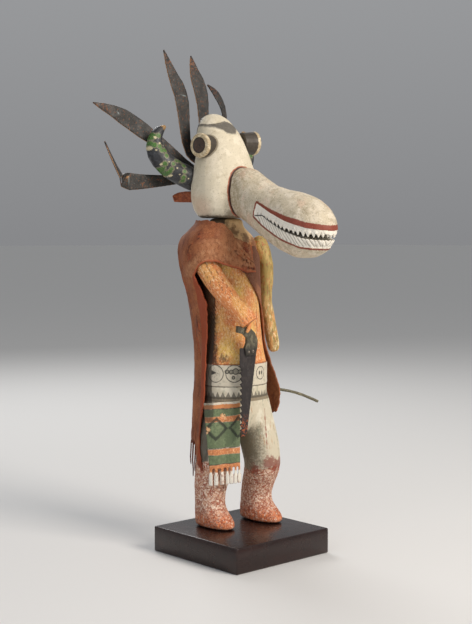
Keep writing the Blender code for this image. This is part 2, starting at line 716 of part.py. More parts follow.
# Lower part: turns of its left and right edge, and heights of its hem
LEFT_EDGE = [(0, 45), (0.15, 60), (0.4, 70), (0.75, 74), (1, 78)]
RIGHT_EDGE = [(0, 272), (0.15, 283), (0.25, 279), (0.5, 277.5), (0.64, 275.5), (0.72, 272),
              (0.82, 267.5), (0.9, 270), (1, 278)]
HIDE_HEM = [(0, 110), (0.12, 100), (0.3, 88), (0.7, 86), (0.84, 78), (0.89, 52), (0.95, 70),
            (1, 70)]
# How far the hide stands from the axis: turn, then the distance at each of these heights.
# Where it is nothing, the hide lies on the body.
HIDE_LEVELS = [310, 300, 285, 262, 235, 200, 172, 148, 125, 90, 60]
HIDE_REACH = [
    (-30, [0, 0, 0, 0, 0, 0, 0, 0, 0, 0, 0]),
    (45, [0, 0, 0, 0, 0, 0, 33, 38, 40, 40, 40]),
    (75, [0, 0, 0, 0, 0, 36, 40, 50, 59, 50, 46]),
    (100, [0, 0, 0, 0, 34, 37, 41, 46, 50, 48, 47]),
    (135, [26, 32, 35, 36, 36, 37, 39, 41, 42, 43, 43]),
    (180, [25, 35, 38, 38, 37.5, 37, 36.5, 36.5, 38, 40, 42]),
    (225, [25, 43, 53, 50, 44.5, 38.5, 36.5, 36, 38, 40, 42]),
    (270, [25, 44, 55, 54, 46, 38, 38, 39, 40, 41, 42]),
    (285, [24, 40, 51, 52, 42, 35, 39, 39.5, 39, 41, 42]),
    (300, [24, 34, 43, 44, 38, 35, 38, 38, 38, 38, 38]),
    (330, [0, 0, 0, 0, 0, 0, 0, 0, 0, 0, 0]),
    (374, [0, 0, 0, 0, 0, 0, 0, 0, 0, 0, 0])]


def hide_reach(turn, height):
    """The hide's distance from the axis at a turn and a height, in the carving's units."""
    table = []
    for rib_turn, reaches in HIDE_REACH:
        falling = list(zip(HIDE_LEVELS, reaches))
        table.append((rib_turn, blend_table(falling[::-1], height)))
    return blend_table(table, turn)


def build_cape(figure, body, arm, left_arm):
    """One hide: round the chest and back, over the right shoulder, and down to the knee."""
    near = Carrier([body], HIDE_AXIS)
    over_arm = Carrier([body, arm], HIDE_AXIS)

    def place(turn, height, carrier):
        lap = blend_table(LAP_TURNS, turn) * (HIDE_THICKNESS + HIDE_LAP)
        least = carrier.reach(turn, height * MM) + HIDE_CLEARANCE + lap
        return polar(HIDE_AXIS, turn, max(hide_reach(turn, height) * MM, least), height * MM)

    first = UPPER_COLUMNS
    middle = HIDE_COLUMNS
    last = FLAP_COLUMNS
    turns = [HIDE_START + (HIDE_LEFT - HIDE_START) * i / first for i in range(first)]
    turns += [HIDE_LEFT + (HIDE_RIGHT - HIDE_LEFT) * i / middle for i in range(middle)]
    turns += [HIDE_RIGHT + (HIDE_END - HIDE_RIGHT) * i / last for i in range(last + 1)]
    grid = {}
    faces = []
    for i, turn in enumerate(turns):
        high = blend_table(HIDE_TOP, turn)
        low = blend_table(HIDE_MIDDLE, turn)
        carrier = over_arm if i > first + middle / 2 else near
        for j in range(UPPER_ROWS + 1):
            grid[i, j] = place(turn, high + (low - high) * j / UPPER_ROWS, carrier)
    for i in range(len(turns) - 1):
        for j in range(UPPER_ROWS):
            faces.append(((i, j), (i, j + 1), (i + 1, j + 1), (i + 1, j)))
    for c in range(middle + 1):
        share = c / middle
        start = blend_table(HIDE_MIDDLE, HIDE_LEFT + (HIDE_RIGHT - HIDE_LEFT) * share)
        hem = blend_table(HIDE_HEM, share)
        for j in range(1, LOWER_ROWS + 1):
            down = j / LOWER_ROWS
            left = blend_table(LEFT_EDGE, down)
            right = blend_table(RIGHT_EDGE, down)
            turn = left + (right - left) * share
            height = start + (hem - start) * down
            grid[first + c, UPPER_ROWS + j] = place(turn, height, near)
    for c in range(middle):
        for j in range(UPPER_ROWS, UPPER_ROWS + LOWER_ROWS):
            i = first + c
            faces.append(((i, j), (i, j + 1), (i + 1, j + 1), (i + 1, j)))
    hide = make_material("brown_hide", (0.32, 0.10, 0.04), 0.75)
    cape = make_object("cape", thick_sheet(grid, faces, HIDE_THICKNESS), hide, figure)
    for carrier in (body, arm, left_arm):
        seat_against(cape, carrier)
    return cape


# Stick: middle line from the left hip outward
STICK = [(22, 18, 141), (48, 15, 137), (66, 9, 131.5), (80, 2, 128.5), (92, -4, 124.5),
         (102, -10, 119.6), (108, -15, 116)]
UP = Vector((0, 0, 1))


def build_stick(figure, body, cape):
    """A thin dark stick, pegged at the left hip and passed through the hide."""
    half = STICK_DIAMETER / 2 / MM
    stations = [(x, y, z, half, half) for x, y, z in track(STICK, 10)]
    bark = make_material("stick_wood", (0.13, 0.11, 0.08), 0.6)
    stick = make_object("stick", loft(sweep(stations, 8, [UP] * len(stations))), bark, figure)
    seat_against(stick, body)
    shape_with(cape, grown(stick, GAP))
    return stick


def build_doll():
    """The doll's pieces, each shaped to the one that carries it."""
    figure = bpy.data.objects.new("figure", None)
    bpy.context.collection.objects.link(figure)
    figure.location = (FIGURE_X, FIGURE_Y, BASE_HEIGHT + GAP)
    body = build_body(figure)
    head = build_head(figure)
    build_snout(figure, head)
    for side, word, place in ((1, "right", RIGHT_EYE), (-1, "left", LEFT_EYE)):
        build_eye("eye_" + word, place, side, figure, head)
        build_horn("horn_" + word, side, figure, head)
    for number in range(1, len(FEATHERS) + 1):
        build_feather(number, figure, head)
    build_tab(figure, head)
    arm = build_right_arm(figure, body)
    left_arm = build_left_arm(figure, body)
    build_saw(figure, arm)
    build_sash(figure, body)
    cape = build_cape(figure, body, arm, left_arm)
    build_stick(figure, body, cape)


clear_scene()
build_base()
build_doll()
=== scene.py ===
# %% [markdown]
# # A carved and painted kachina doll on a display base
# The real doll is carved from cottonwood root, a light and even wood, and painted with earth
# colours over white clay. It wears a horned case mask, a wrap of real hide and a painted
# sash, and it holds a small saw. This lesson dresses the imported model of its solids.
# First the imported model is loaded, because every piece below is placed in its frame.

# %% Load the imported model
import json
import math

import bmesh
import bpy
import numpy as np
from mathutils import Matrix, Vector, noise
from mathutils.bvhtree import BVHTree

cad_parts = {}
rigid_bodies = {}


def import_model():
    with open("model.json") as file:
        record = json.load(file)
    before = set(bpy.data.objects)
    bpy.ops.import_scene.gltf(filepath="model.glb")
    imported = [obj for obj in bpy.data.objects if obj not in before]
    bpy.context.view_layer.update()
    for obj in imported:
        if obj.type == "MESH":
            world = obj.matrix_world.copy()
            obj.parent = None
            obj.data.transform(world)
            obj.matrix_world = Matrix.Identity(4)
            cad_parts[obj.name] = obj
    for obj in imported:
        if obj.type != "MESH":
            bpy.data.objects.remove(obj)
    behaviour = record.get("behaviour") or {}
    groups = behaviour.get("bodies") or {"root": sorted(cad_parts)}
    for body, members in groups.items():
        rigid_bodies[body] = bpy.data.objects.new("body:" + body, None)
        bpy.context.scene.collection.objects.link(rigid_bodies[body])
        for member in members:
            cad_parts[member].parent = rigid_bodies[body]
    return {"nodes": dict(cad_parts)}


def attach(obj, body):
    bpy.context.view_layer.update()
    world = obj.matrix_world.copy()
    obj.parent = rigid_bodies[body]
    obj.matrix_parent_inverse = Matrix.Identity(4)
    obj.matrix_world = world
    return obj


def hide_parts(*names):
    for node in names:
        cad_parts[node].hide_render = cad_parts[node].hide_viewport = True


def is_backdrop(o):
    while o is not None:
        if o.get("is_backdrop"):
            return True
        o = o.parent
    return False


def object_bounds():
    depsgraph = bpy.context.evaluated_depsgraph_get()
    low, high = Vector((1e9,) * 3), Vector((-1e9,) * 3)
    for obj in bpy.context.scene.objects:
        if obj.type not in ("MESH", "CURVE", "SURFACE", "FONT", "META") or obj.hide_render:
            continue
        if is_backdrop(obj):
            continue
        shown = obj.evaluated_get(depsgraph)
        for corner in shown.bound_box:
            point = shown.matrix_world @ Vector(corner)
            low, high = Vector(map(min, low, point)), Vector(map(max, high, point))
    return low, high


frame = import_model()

scene = bpy.context.scene
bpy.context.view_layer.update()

# %% [markdown]
# ## Camera
# A museum photograph of a figure this size is taken from a metre or so away with a long
# lens, so that the figure isn't distorted. The camera is made first, because each piece is
# judged through it. Its place and lens come from the corners of the base in the picture.

# %% Camera
camera_data = bpy.data.cameras.new("camera")
camera_data.lens = 70.2
camera_data.clip_start = 0.05
camera = bpy.data.objects.new("camera", camera_data)
camera.location = (-0.8214, -0.8952, 0.3174)
camera.rotation_euler = (math.radians(86.5), 0.0, math.radians(-42.3))
scene.collection.objects.link(camera)
scene.camera = camera
print("camera", round(camera.location.length, 3), "m from the base")

# %% [markdown]
# ## Floor and light
# The studio is a pale sheet under soft light. One big soft lamp to the right of the camera
# makes the doll round, a weaker one on the left keeps the shadows open, and one from above
# and behind draws the rims. Big lamps give soft shadows, as a softbox does.

# %% Floor and studio light
def linear(code):
    """Turn an sRGB hex colour into the linear colour that a shader reads."""
    parts = [int(code[place:place + 2], 16) / 255 for place in (1, 3, 5)]
    return (*[p / 12.92 if p < 0.04045 else ((p + 0.055) / 1.055) ** 2.4 for p in parts], 1.0)


def add(tree, kind, sockets=None, **options):
    """Add a node, set its options, and fill its sockets with values or links."""
    made = tree.nodes.new("ShaderNode" + kind)
    for name, value in options.items():
        setattr(made, name, value)
    for name, value in (sockets or {}).items():
        if isinstance(value, bpy.types.NodeSocket):
            tree.links.new(value, made.inputs[name])
        else:
            made.inputs[name].default_value = value
    return made


FLOOR_HALF = 40.0
bm = bmesh.new()
bmesh.ops.create_grid(bm, x_segments=1, y_segments=1, size=FLOOR_HALF)
floor_mesh = bpy.data.meshes.new("studio_floor")
bm.to_mesh(floor_mesh)
bm.free()
floor = bpy.data.objects.new("studio_floor", floor_mesh)
scene.collection.objects.link(floor)
paper = bpy.data.materials.new("matt_backdrop_paper")
paper.use_nodes = True
paper.node_tree.nodes["Principled BSDF"].inputs["Base Color"].default_value = linear("#d9d8d6")
paper.node_tree.nodes["Principled BSDF"].inputs["Roughness"].default_value = 0.9
floor_mesh.materials.append(paper)
floor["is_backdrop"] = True

world = bpy.data.worlds.new("studio")
world.use_nodes = True
# The sky of the studio is darker near the floor, so that the floor's far edge melts into it
way = add(world.node_tree, "TexCoord").outputs["Generated"]
height = add(world.node_tree, "SeparateXYZ", {0: way}).outputs["Z"]
share = add(world.node_tree, "MapRange", {"Value": height, "From Min": 0.0, "From Max": 0.35})
tone = add(world.node_tree, "Mix", {0: share.outputs[0], 6: linear("#c3c4c7"),
                                    7: linear("#e9ebee")}, data_type="RGBA")
backdrop = world.node_tree.nodes["Background"]
world.node_tree.links.new(tone.outputs[2], backdrop.inputs["Color"])
backdrop.inputs["Strength"].default_value = 0.45
scene.world = world
scene.view_settings.view_transform = "Standard"

AIM = Vector((0.0, 0.0, 0.27))
for name, place, size, watts, tint in (
        ("key", (0.25, -1.45, 1.15), 0.7, 27.0, "#fff6ec"),
        ("fill", (-1.6, -0.5, 0.7), 1.2, 5.0, "#eef2ff"),
        ("rim", (0.5, 1.3, 1.3), 0.8, 12.0, "#ffffff")):
    lamp = bpy.data.lights.new(name, "AREA")
    lamp.size = size
    lamp.energy = watts
    lamp.color = linear(tint)[:3]
    holder = bpy.data.objects.new(name, lamp)
    holder.location = place
    holder.rotation_euler = (AIM - Vector(place)).to_track_quat("-Z", "Y").to_euler()
    scene.collection.objects.link(holder)
print("3 lamps and a pale floor")

# %% [markdown]
# ## Working in the doll's own millimetres
# The carver's measures are easiest to read in millimetres from the point between the doll's
# soles: x to the doll's left, y to its back, z up. These helpers turn a mesh's places into
# those millimetres, keep a number at each vertex for the paint to read, and measure how far
# each vertex is from a line or a patch. A number kept so is called an attribute.

# %% Helpers for places, numbers at vertices and distances
SOLES = np.array((0.009, 0.020, 0.0257))


def at(x, y, z):
    """A place in the doll's millimetres, as a point of the frame in metres."""
    return Vector(SOLES) + Vector((x, y, z)) / 1000


def places(piece):
    """Where a piece's vertices are, in the doll's millimetres."""
    flat = np.empty(len(piece.data.vertices) * 3)
    piece.data.vertices.foreach_get("co", flat)
    return (flat.reshape(-1, 3) - SOLES) * 1000


def directions(piece):
    """Which way the surface faces at each vertex."""
    flat = np.empty(len(piece.data.vertices) * 3)
    piece.data.vertices.foreach_get("normal", flat)
    return flat.reshape(-1, 3)


def keep(piece, name, values):
    """Keep a number at each vertex, for a material to read."""
    kept = piece.data.attributes.get(name) or piece.data.attributes.new(name, "FLOAT", "POINT")
    kept.data.foreach_set("value", np.asarray(values, np.float32))


def lumps(points, size, seed, stretch=(1, 1, 1)):
    """Smooth chance from -1 to 1 at each point, with lumps of a size in millimetres."""
    moved = points / (np.array(stretch) * size) + seed * 11.3
    return np.array([noise.noise(point) for point in moved.tolist()])


def ease(values, low, high):
    """0 below low, 1 above high, and a smooth step between."""
    share = np.clip((values - low) / (high - low), 0, 1)
    return share * share * (3 - 2 * share)


def from_line(points, path):
    """How far each point is from a line through the points of a path."""
    nearest = np.full(len(points), 1e9)
    for start, end in zip(np.array(path[:-1], float), np.array(path[1:], float)):
        step = end - start
        share = np.clip((points - start) @ step / (step @ step), 0, 1)
        gap = np.linalg.norm(points - start - share[:, None] * step, axis=1)
        nearest = np.minimum(nearest, gap)
    return nearest


def from_patches(points, patches):
    """Distance to the nearest of some round patches (x, y, z, radius), less than 0 inside."""
    nearest = np.full(len(points), 1e9)
    for x, y, z, radius in patches:
        gap = np.linalg.norm(points - np.array((x, y, z)), axis=1) - radius
        nearest = np.minimum(nearest, gap)
    return nearest


def along_line(points, path):
    """How far along a path the nearest place to each point is."""
    nearest = np.full(len(points), 1e9)
    travelled = np.zeros(len(points))
    done = 0.0
    for start, end in zip(np.array(path[:-1], float), np.array(path[1:], float)):
        step = end - start
        share = np.clip((points - start) @ step / (step @ step), 0, 1)
        gap = np.linalg.norm(points - start - share[:, None] * step, axis=1)
        travelled = np.where(gap < nearest, done + share * np.linalg.norm(step), travelled)
        nearest = np.minimum(nearest, gap)
        done += np.linalg.norm(step)
    return travelled


def in_outline(points, outline):
    """Distance to the rim of a flat outline, less than 0 inside it."""
    rim = from_line(points, [*outline, outline[0]])
    within = np.zeros(len(points), bool)
    for (ax, ay), (bx, by) in zip(outline, [*outline[1:], outline[0]]):
        crosses = (points[:, 1] > ay) != (points[:, 1] > by)
        edge = ax + (points[:, 1] - ay) / (by - ay + 1e-9) * (bx - ax)
        within ^= crosses & (points[:, 0] < edge)
    return np.where(within, -rim, rim)


# The upright line that turns are measured round, as x and y in the doll's millimetres
AXIS = (0.0, 4.0)


def turn_of(points, middle=AXIS):
    """The turn of each point round an upright line, from the front by the left, in degrees."""
    return np.degrees(np.arctan2(points[:, 0] - middle[0], middle[1] - points[:, 1])) % 360


# %% [markdown]
# ## Turning a plain solid into carved wood
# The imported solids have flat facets. To carve on one, its copy is merged, rebuilt as an even
# mesh of small squares, and softened until the facets are gone. That is what a carver does
# with a rasp before the knife. Where an edge has to stay crisp, the softening is masked off.
# Cuts and lumps are then pushed into it along the way each vertex faces.

# %% Helpers that copy, rebuild, soften and carve a solid
def take(node, name):
    """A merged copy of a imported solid, as a new piece that stands for it."""
    mesh = frame["nodes"][node].data.copy()
    mesh.materials.clear()
    bm = bmesh.new()
    bm.from_mesh(mesh)
    bmesh.ops.remove_doubles(bm, verts=bm.verts, dist=1e-6)
    bm.to_mesh(mesh)
    bm.free()
    # The facets' own normals would stay on the copy, so they are taken off
    if "custom_normal" in mesh.attributes:
        mesh.attributes.remove(mesh.attributes["custom_normal"])
    piece = bpy.data.objects.new(name, mesh)
    scene.collection.objects.link(piece)
    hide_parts(node)
    return piece


def settle(piece):
    """Make a piece's modifiers part of its mesh."""
    bpy.context.view_layer.update()
    graph = bpy.context.evaluated_depsgraph_get()
    mesh = bpy.data.meshes.new_from_object(piece.evaluated_get(graph))
    piece.modifiers.clear()
    old = piece.data
    piece.data = mesh
    bpy.data.meshes.remove(old)


def rebuild(piece, grid):
    """Rebuild a closed piece as an even mesh with squares of a size in millimetres."""
    remesh = piece.modifiers.new("rebuild", "REMESH")
    remesh.mode = "VOXEL"
    remesh.voxel_size = grid / 1000
    remesh.use_smooth_shade = True
    settle(piece)


def soften(piece, passes, where=None):
    """Smooth a piece, fully where the mask is 1 and not at all where it is 0."""
    step = piece.modifiers.new("soften", "SMOOTH")
    step.factor = 0.5
    step.iterations = passes
    if where is not None:
        group = piece.vertex_groups.new(name="soften")
        for share in range(1, 11):
            chosen = np.nonzero(np.round(where * 10) == share)[0]
            group.add(chosen.tolist(), share / 10, "REPLACE")
        step.vertex_group = group.name
    settle(piece)
    piece.vertex_groups.clear()


def carve(piece, heights):
    """Move each vertex along its own facing by a height in millimetres."""
    moved = (places(piece) + directions(piece) * np.asarray(heights)[:, None]) / 1000 + SOLES
    piece.data.vertices.foreach_set("co", moved.ravel())
    piece.data.update()


def hollows(piece, passes):
    """Keep how hollow (above 0) or how proud (below 0) the surface is, in micrometres."""
    points = places(piece)
    ends = np.empty(len(piece.data.edges) * 2, int)
    piece.data.edges.foreach_get("vertices", ends)
    a, b = ends.reshape(-1, 2).T
    count = np.bincount(a, minlength=len(points)) + np.bincount(b, minlength=len(points))
    count = np.maximum(count, 1)

    def mean(values):
        total = np.bincount(a, values[b], len(points)) + np.bincount(b, values[a], len(points))
        return total / count

    smooth = points
    for _ in range(passes):
        smooth = np.stack([mean(smooth[:, axis]) for axis in range(3)], axis=1)
    lean = np.einsum("ij,ij->i", smooth - points, directions(piece))
    keep(piece, "hollow", 1000 * lean)


def distance_to(piece, others):
    """How far each vertex is from the surface of other objects, in millimetres."""
    bm = bmesh.new()
    for other in others:
        bm.from_mesh(other.data)
    tree = BVHTree.FromBMesh(bm)
    bm.free()
    spots = places(piece) / 1000 + SOLES
    return np.array([1000 * tree.find_nearest(spot)[3] for spot in spots.tolist()])


# A ray that starts on a face would meet that face, so it starts this far inside, in metres
JUST_INSIDE = 1e-4


def thickness(piece, most):
    """How thick the piece is behind each vertex, up to a limit, in millimetres."""
    bm = bmesh.new()
    bm.from_mesh(piece.data)
    tree = BVHTree.FromBMesh(bm)
    bm.free()
    depths = []
    spots = places(piece) / 1000 + SOLES
    for spot, facing in zip(spots.tolist(), directions(piece).tolist()):
        inward = -Vector(facing)
        hit = tree.ray_cast(Vector(spot) + inward * JUST_INSIDE, inward, most / 1000)
        depths.append(1000 * hit[3] if hit[0] else most)
    return np.array(depths)


def dress(piece, material):
    """Give a piece its material and its body."""
    piece.data.materials.clear()
    piece.data.materials.append(material)
    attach(piece, "root")
    print(piece.name, len(piece.data.polygons), "faces")


# %% [markdown]
# ## Worn earth paint
# Earth paint over white clay lies thin and matt on wood. Age takes it off in flecks, rubs
# the high edges and leaves dirt in the hollows. A material here is a ground colour and then
# coats, one over another, as they were brushed on. A coat covers where a kept number is
# small enough, or where a noise of a real size in millimetres is high enough, or both. The
# true grain of paint, wood and hide is finer than half a millimetre and wouldn't show, so
# the finest noise is drawn about a millimetre coarse.

# %% The painter's function
def coat(colour, **facts):
    """One coat of paint: its colour, and where it lies."""
    return {"colour": colour, **facts}


def painted(name, ground, coats, roughness=(0.6, 0.8), reliefs=((1.2, 0.05, (1, 1, 1)),)):
    """A material of a ground colour and coats, with a fine relief of noise."""
    material = bpy.data.materials.new(name)
    material.use_nodes = True
    tree = material.node_tree
    shader = tree.nodes["Principled BSDF"]
    spot = add(tree, "TexCoord").outputs["Object"]
    colour = linear(ground)
    facing = None
    for order, facts in enumerate(coats):
        strength = facts.get("strength", 1.0)
        cloud = None
        mask = None
        if "size" in facts:
            # Each coat reads another part of the noise, so that no two have the same flecks
            moved = add(tree, "Mapping", {
                "Vector": spot, "Location": (0.37 * order, 0.11 * order, 0.05 * order),
                "Rotation": facts.get("turned", (0, 0, 0)),
                "Scale": facts.get("stretch", (1, 1, 1))}, vector_type="TEXTURE")
            cloud = add(tree, "TexNoise", {
                "Vector": moved.outputs[0], "Scale": 1000 / facts["size"],
                "Detail": facts.get("detail", 3.0), "Roughness": 0.6}).outputs[0]
        if facts.get("veins"):
            # Thin wandering lines, where the noise passes through its middle value
            lean = add(tree, "Math", {0: cloud, 1: 0.5}, operation="SUBTRACT").outputs[0]
            lean = add(tree, "Math", {0: lean}, operation="ABSOLUTE").outputs[0]
            cloud = add(tree, "Math", {0: 1.0, 1: lean}, operation="SUBTRACT").outputs[0]
        if "field" in facts:
            reach = add(tree, "Attribute", attribute_name=facts["field"]).outputs["Fac"]
            if facts.get("both"):
                reach = add(tree, "Math", {0: reach}, operation="ABSOLUTE").outputs[0]
            if "ragged" in facts:
                shift = add(tree, "Math", {0: cloud, 1: 4 * facts["ragged"],
                                           2: -2 * facts["ragged"]}, operation="MULTIPLY_ADD")
                reach = add(tree, "Math", {0: reach, 1: shift.outputs[0]}).outputs[0]
            edge = facts.get("edge", 0.0)
            soft = facts.get("soft", 0.25)
            mask = add(tree, "MapRange", {
                "Value": reach, "From Min": edge - soft, "From Max": edge + soft,
                "To Min": strength, "To Max": 0.0}, interpolation_type="SMOOTHSTEP").outputs[0]
        if "cover" in facts:
            low, high = facts["cover"]
            patch = add(tree, "MapRange", {
                "Value": cloud, "From Min": low, "From Max": high, "To Min": 0.0,
                "To Max": 1.0 if mask else strength}, interpolation_type="SMOOTHSTEP")
            if mask:
                mask = add(tree, "Math", {0: mask, 1: patch.outputs[0]}, operation="MULTIPLY")
                mask = mask.outputs[0]
            else:
                mask = patch.outputs[0]
        mixed = add(tree, "Mix", {0: mask, 6: colour, 7: linear(facts["colour"])},
                    data_type="RGBA")
        colour = mixed.outputs[2]
        if "depth" in facts:
            bump = add(tree, "Bump", {"Height": mask, "Distance": abs(facts["depth"]) / 1000},
                       invert=facts["depth"] < 0)
            if facing:
                tree.links.new(facing, bump.inputs["Normal"])
            facing = bump.outputs[0]
    for size, height, stretch in reliefs:
        moved = add(tree, "Mapping", {"Vector": spot, "Scale": stretch}, vector_type="TEXTURE")
        grain = add(tree, "TexNoise", {"Vector": moved.outputs[0], "Scale": 1000 / size,
                                       "Detail": 4.0, "Roughness": 0.6})
        bump = add(tree, "Bump", {"Height": grain.outputs[0], "Distance": height / 1000})
        if facing:
            tree.links.new(facing, bump.inputs["Normal"])
        facing = bump.outputs[0]
    gloss = add(tree, "TexNoise", {"Vector": spot, "Scale": 120.0, "Detail": 3.0})
    sheen = add(tree, "MapRange", {"Value": gloss.outputs[0], "From Min": 0.3, "From Max": 0.7,
                                   "To Min": roughness[0], "To Max": roughness[1]})
    tree.links.new(sheen.outputs[0], shader.inputs["Roughness"])
    tree.links.new(colour, shader.inputs["Base Color"])
    tree.links.new(facing, shader.inputs["Normal"])
    return material


# %% [markdown]
# ## Display base
# The base is a square block, sprayed with dark brown lacquer and rubbed to a satin, so it
# mirrors the feet softly. A block could be a scaled cube, but a real one has eased edges
# that catch the light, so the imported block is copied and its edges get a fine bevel.

# %% Display base
base = take("base", "display_base")
ease_edges = base.modifiers.new("eased", "BEVEL")
ease_edges.width = 0.0004
ease_edges.segments = 3
settle(base)
base.data.shade_smooth()
base.data.set_sharp_from_angle(angle=math.radians(50))
lacquer = painted("satin_brown_lacquer", "#24130f", [
    # A little red of the wood under the lacquer, drawn out along the grain
    coat("#2e1813", size=6.0, stretch=(8, 1, 1), cover=(0.45, 0.65), strength=0.6),
    coat("#17100f", size=14.0, cover=(0.5, 0.7), strength=0.4)],
    roughness=(0.20, 0.30), reliefs=((0.8, 0.004, (6, 1, 1)),))
dress(base, lacquer)

# %% [markdown]
# ## The mask's head
# The case mask is a rounded block of root, painted cream. It carries a dark brow, and a thin
# line where the muzzle joins. Rebuilding the solid's copy gives an even mesh to carve on.

# %% The mask's head: carving, and where its paint lies
head = take("head", "mask_head")
rebuild(head, 0.85)
soften(head, 70)
spots = places(head)
carve(head, 0.16 * lumps(spots, 9, 1) + 0.07 * lumps(spots, 3, 2) + 0.05 * lumps(spots, 1.6, 3))
spots = places(head)
keep(head, "seam", distance_to(head, [frame["nodes"]["snout"]]))
keep(head, "shade_round_eyes", distance_to(head, [frame["nodes"]["eye_right"], frame["nodes"]["eye_left"]]))
round_brow = np.abs((turn_of(spots, (0, 28)) + 180) % 360 - 180)
BROW_TURNS = [0, 15, 23, 44, 67, 90, 180]
brow_low = np.interp(round_brow, BROW_TURNS, [396.2, 396.8, 399.8, 402.6, 403.4, 404.6, 406])
brow_top = np.interp(round_brow, BROW_TURNS, [409.4, 408.6, 407.6, 406.2, 405.6, 406.4, 407])
keep(head, "brow", np.maximum(brow_low - spots[:, 2], spots[:, 2] - brow_top))
keep(head, "brow_line", spots[:, 2] - brow_top)
NAPE_BACK = 35
RIM_HIGH = 313.5
keep(head, "nape", NAPE_BACK - spots[:, 1])
keep(head, "rim", spots[:, 2] - RIM_HIGH)
keep(head, "flush", from_patches(spots, [(-35, 12, 322, 11), (-30, 20, 330, 8)]))
keep(head, "chin", from_patches(spots, [(-16, -14, 313, 7), (-4, -18, 312, 8)]))
print("head carved:", len(spots), "vertices")

# %% [markdown]
# The head's paint is cream clay. To the eye it is a pale dry skin with grey and tan flecks,
# a dark brow, and a red line at the muzzle's seam.

# %% The mask's head: the paint
cream = painted("cream_clay_paint", "#d5cab1", [
    # Chalky white patches, then the grey and tan flecks that years of handling leave
    coat("#e6dcc6", size=14, cover=(0.45, 0.62), strength=0.7),
    coat("#b9ab8c", size=9, cover=(0.54, 0.7), strength=0.5),
    coat("#cfa98a", field="flush", soft=7, strength=0.5),
    coat("#8c7d60", size=1.3, cover=(0.60, 0.68), strength=0.55),
    coat("#5b4e3d", size=0.9, cover=(0.66, 0.72), strength=0.6),
    coat("#6e5f48", field="chin", soft=3, size=2, ragged=3, strength=0.7),
    coat("#4a4641", field="brow", soft=1.3, size=1.5, ragged=0.7, strength=0.9),
    coat("#857c6c", field="brow", soft=0.8, size=1.3, cover=(0.54, 0.66), strength=0.6),
    coat("#2a211b", field="brow_line", both=True, edge=0.35, soft=0.3, size=2, ragged=0.3,
         strength=0.8),
    coat("#2b2521", field="nape", soft=1.6, size=4, ragged=2.0, strength=0.93),
    # Painted shade round the base of each eye peg, where it meets the head
    coat("#7a6c56", field="shade_round_eyes", edge=1.3, soft=0.5, strength=0.7),
    coat("#a8491f", field="seam", edge=1.7, soft=0.35, size=3, ragged=0.35, strength=0.9),
    # Right at the seam a thin dark line of painted shade, where the muzzle meets the head
    coat("#2b1a12", field="seam", edge=0.8, soft=0.3, strength=0.9),
    coat("#4a3b2c", field="rim", soft=1.2, size=3, ragged=1.2, strength=0.7)],
    roughness=(0.55, 0.75), reliefs=((1.0, 0.10, (1, 1, 1.6)), (4.0, 0.12, (1, 1, 1))))
dress(head, cream)

# %% [markdown]
# ## The muzzle and its teeth
# The muzzle is one long pear of wood. Its mouth is cut in as a shallow step and the two rows
# of teeth are notched into the step. The copy is rebuilt finely, and softened only away from
# the mouth, so that the lips stay crisp. Each tooth is then rounded by pushing grooves in.

# %% The muzzle: carving, and where its paint lies
UPPER_LIP = [(-142, 296.7), (-122, 300.4), (-100, 306.8), (-77, 315.8), (-57, 324.6)]
LOWER_LIP = [(-53.5, 312.6), (-67, 303.6), (-90, 291.8), (-113, 283), (-142, 279.4)]
BITE = [(-140, 290.6), (-118, 292.6), (-97, 299), (-78, 307), (-66, 313)]
snout = take("snout", "mask_muzzle")
rebuild(snout, 0.7)
side = places(snout)[:, 1:]
mouth = in_outline(side, [*UPPER_LIP, *LOWER_LIP])
soften(snout, 4)
soften(snout, 70, ease(mouth, 0.6, 3.5))
spots = places(snout)
side = spots[:, 1:]
mouth = in_outline(side, [*UPPER_LIP, *LOWER_LIP])
# The muzzle seen from above, from root to tip: half its width, and the place along it
PLAN = [(24, -56), (26.4, -75), (27.6, -94), (25.8, -110), (21.6, -121), (15.4, -129),
        (8.4, -133.6), (0, -135.4)]
UPPER_PITCH = 5.4
LOWER_PITCH = 4.4
bite = np.interp(side[:, 0], [y for y, z in BITE], [z for y, z in BITE])
above = side[:, 1] - bite
round_muzzle = along_line(np.column_stack((np.abs(spots[:, 0]), side[:, 0])), PLAN)
upper_wave = np.cos(2 * math.pi * round_muzzle / UPPER_PITCH)
lower_wave = np.cos(2 * math.pi * (round_muzzle + 0.7 * above) / LOWER_PITCH)
wave = np.where(above > 0, upper_wave, lower_wave)
within = ease(-mouth, 0.3, 1.2)
grooves = np.where(above > 0, 0.28, 0.34) * np.minimum(wave, 0.4) * within
carve(snout, grooves + 0.14 * lumps(spots, 8, 5) * (1 - within) + 0.05 * lumps(spots, 1.8, 6))
lip_width = np.interp(side[:, 0], [-135, -110, -80, -57], [5.0, 5.4, 3.4, 2.2])
near_upper = from_line(side, UPPER_LIP)
near_lower = from_line(side, [UPPER_LIP[-1], (-55.4, 318), *LOWER_LIP])
keep(snout, "mouth", mouth)
keep(snout, "lips", np.where(mouth > 0, np.minimum(near_upper - lip_width, near_lower - 1.9), 5))
keep(snout, "grooves", np.where((mouth < 0.3) & (above < 3.2), wave, 2))
gap = np.abs(above) + 0.6 - np.interp(side[:, 0], [-140, -97, -66], [3.2, 2.0, 1.2])
keep(snout, "gap", np.maximum(gap, mouth + 0.5))
keep(snout, "root", -34 - side[:, 0])
print("muzzle carved:", len(spots), "vertices")
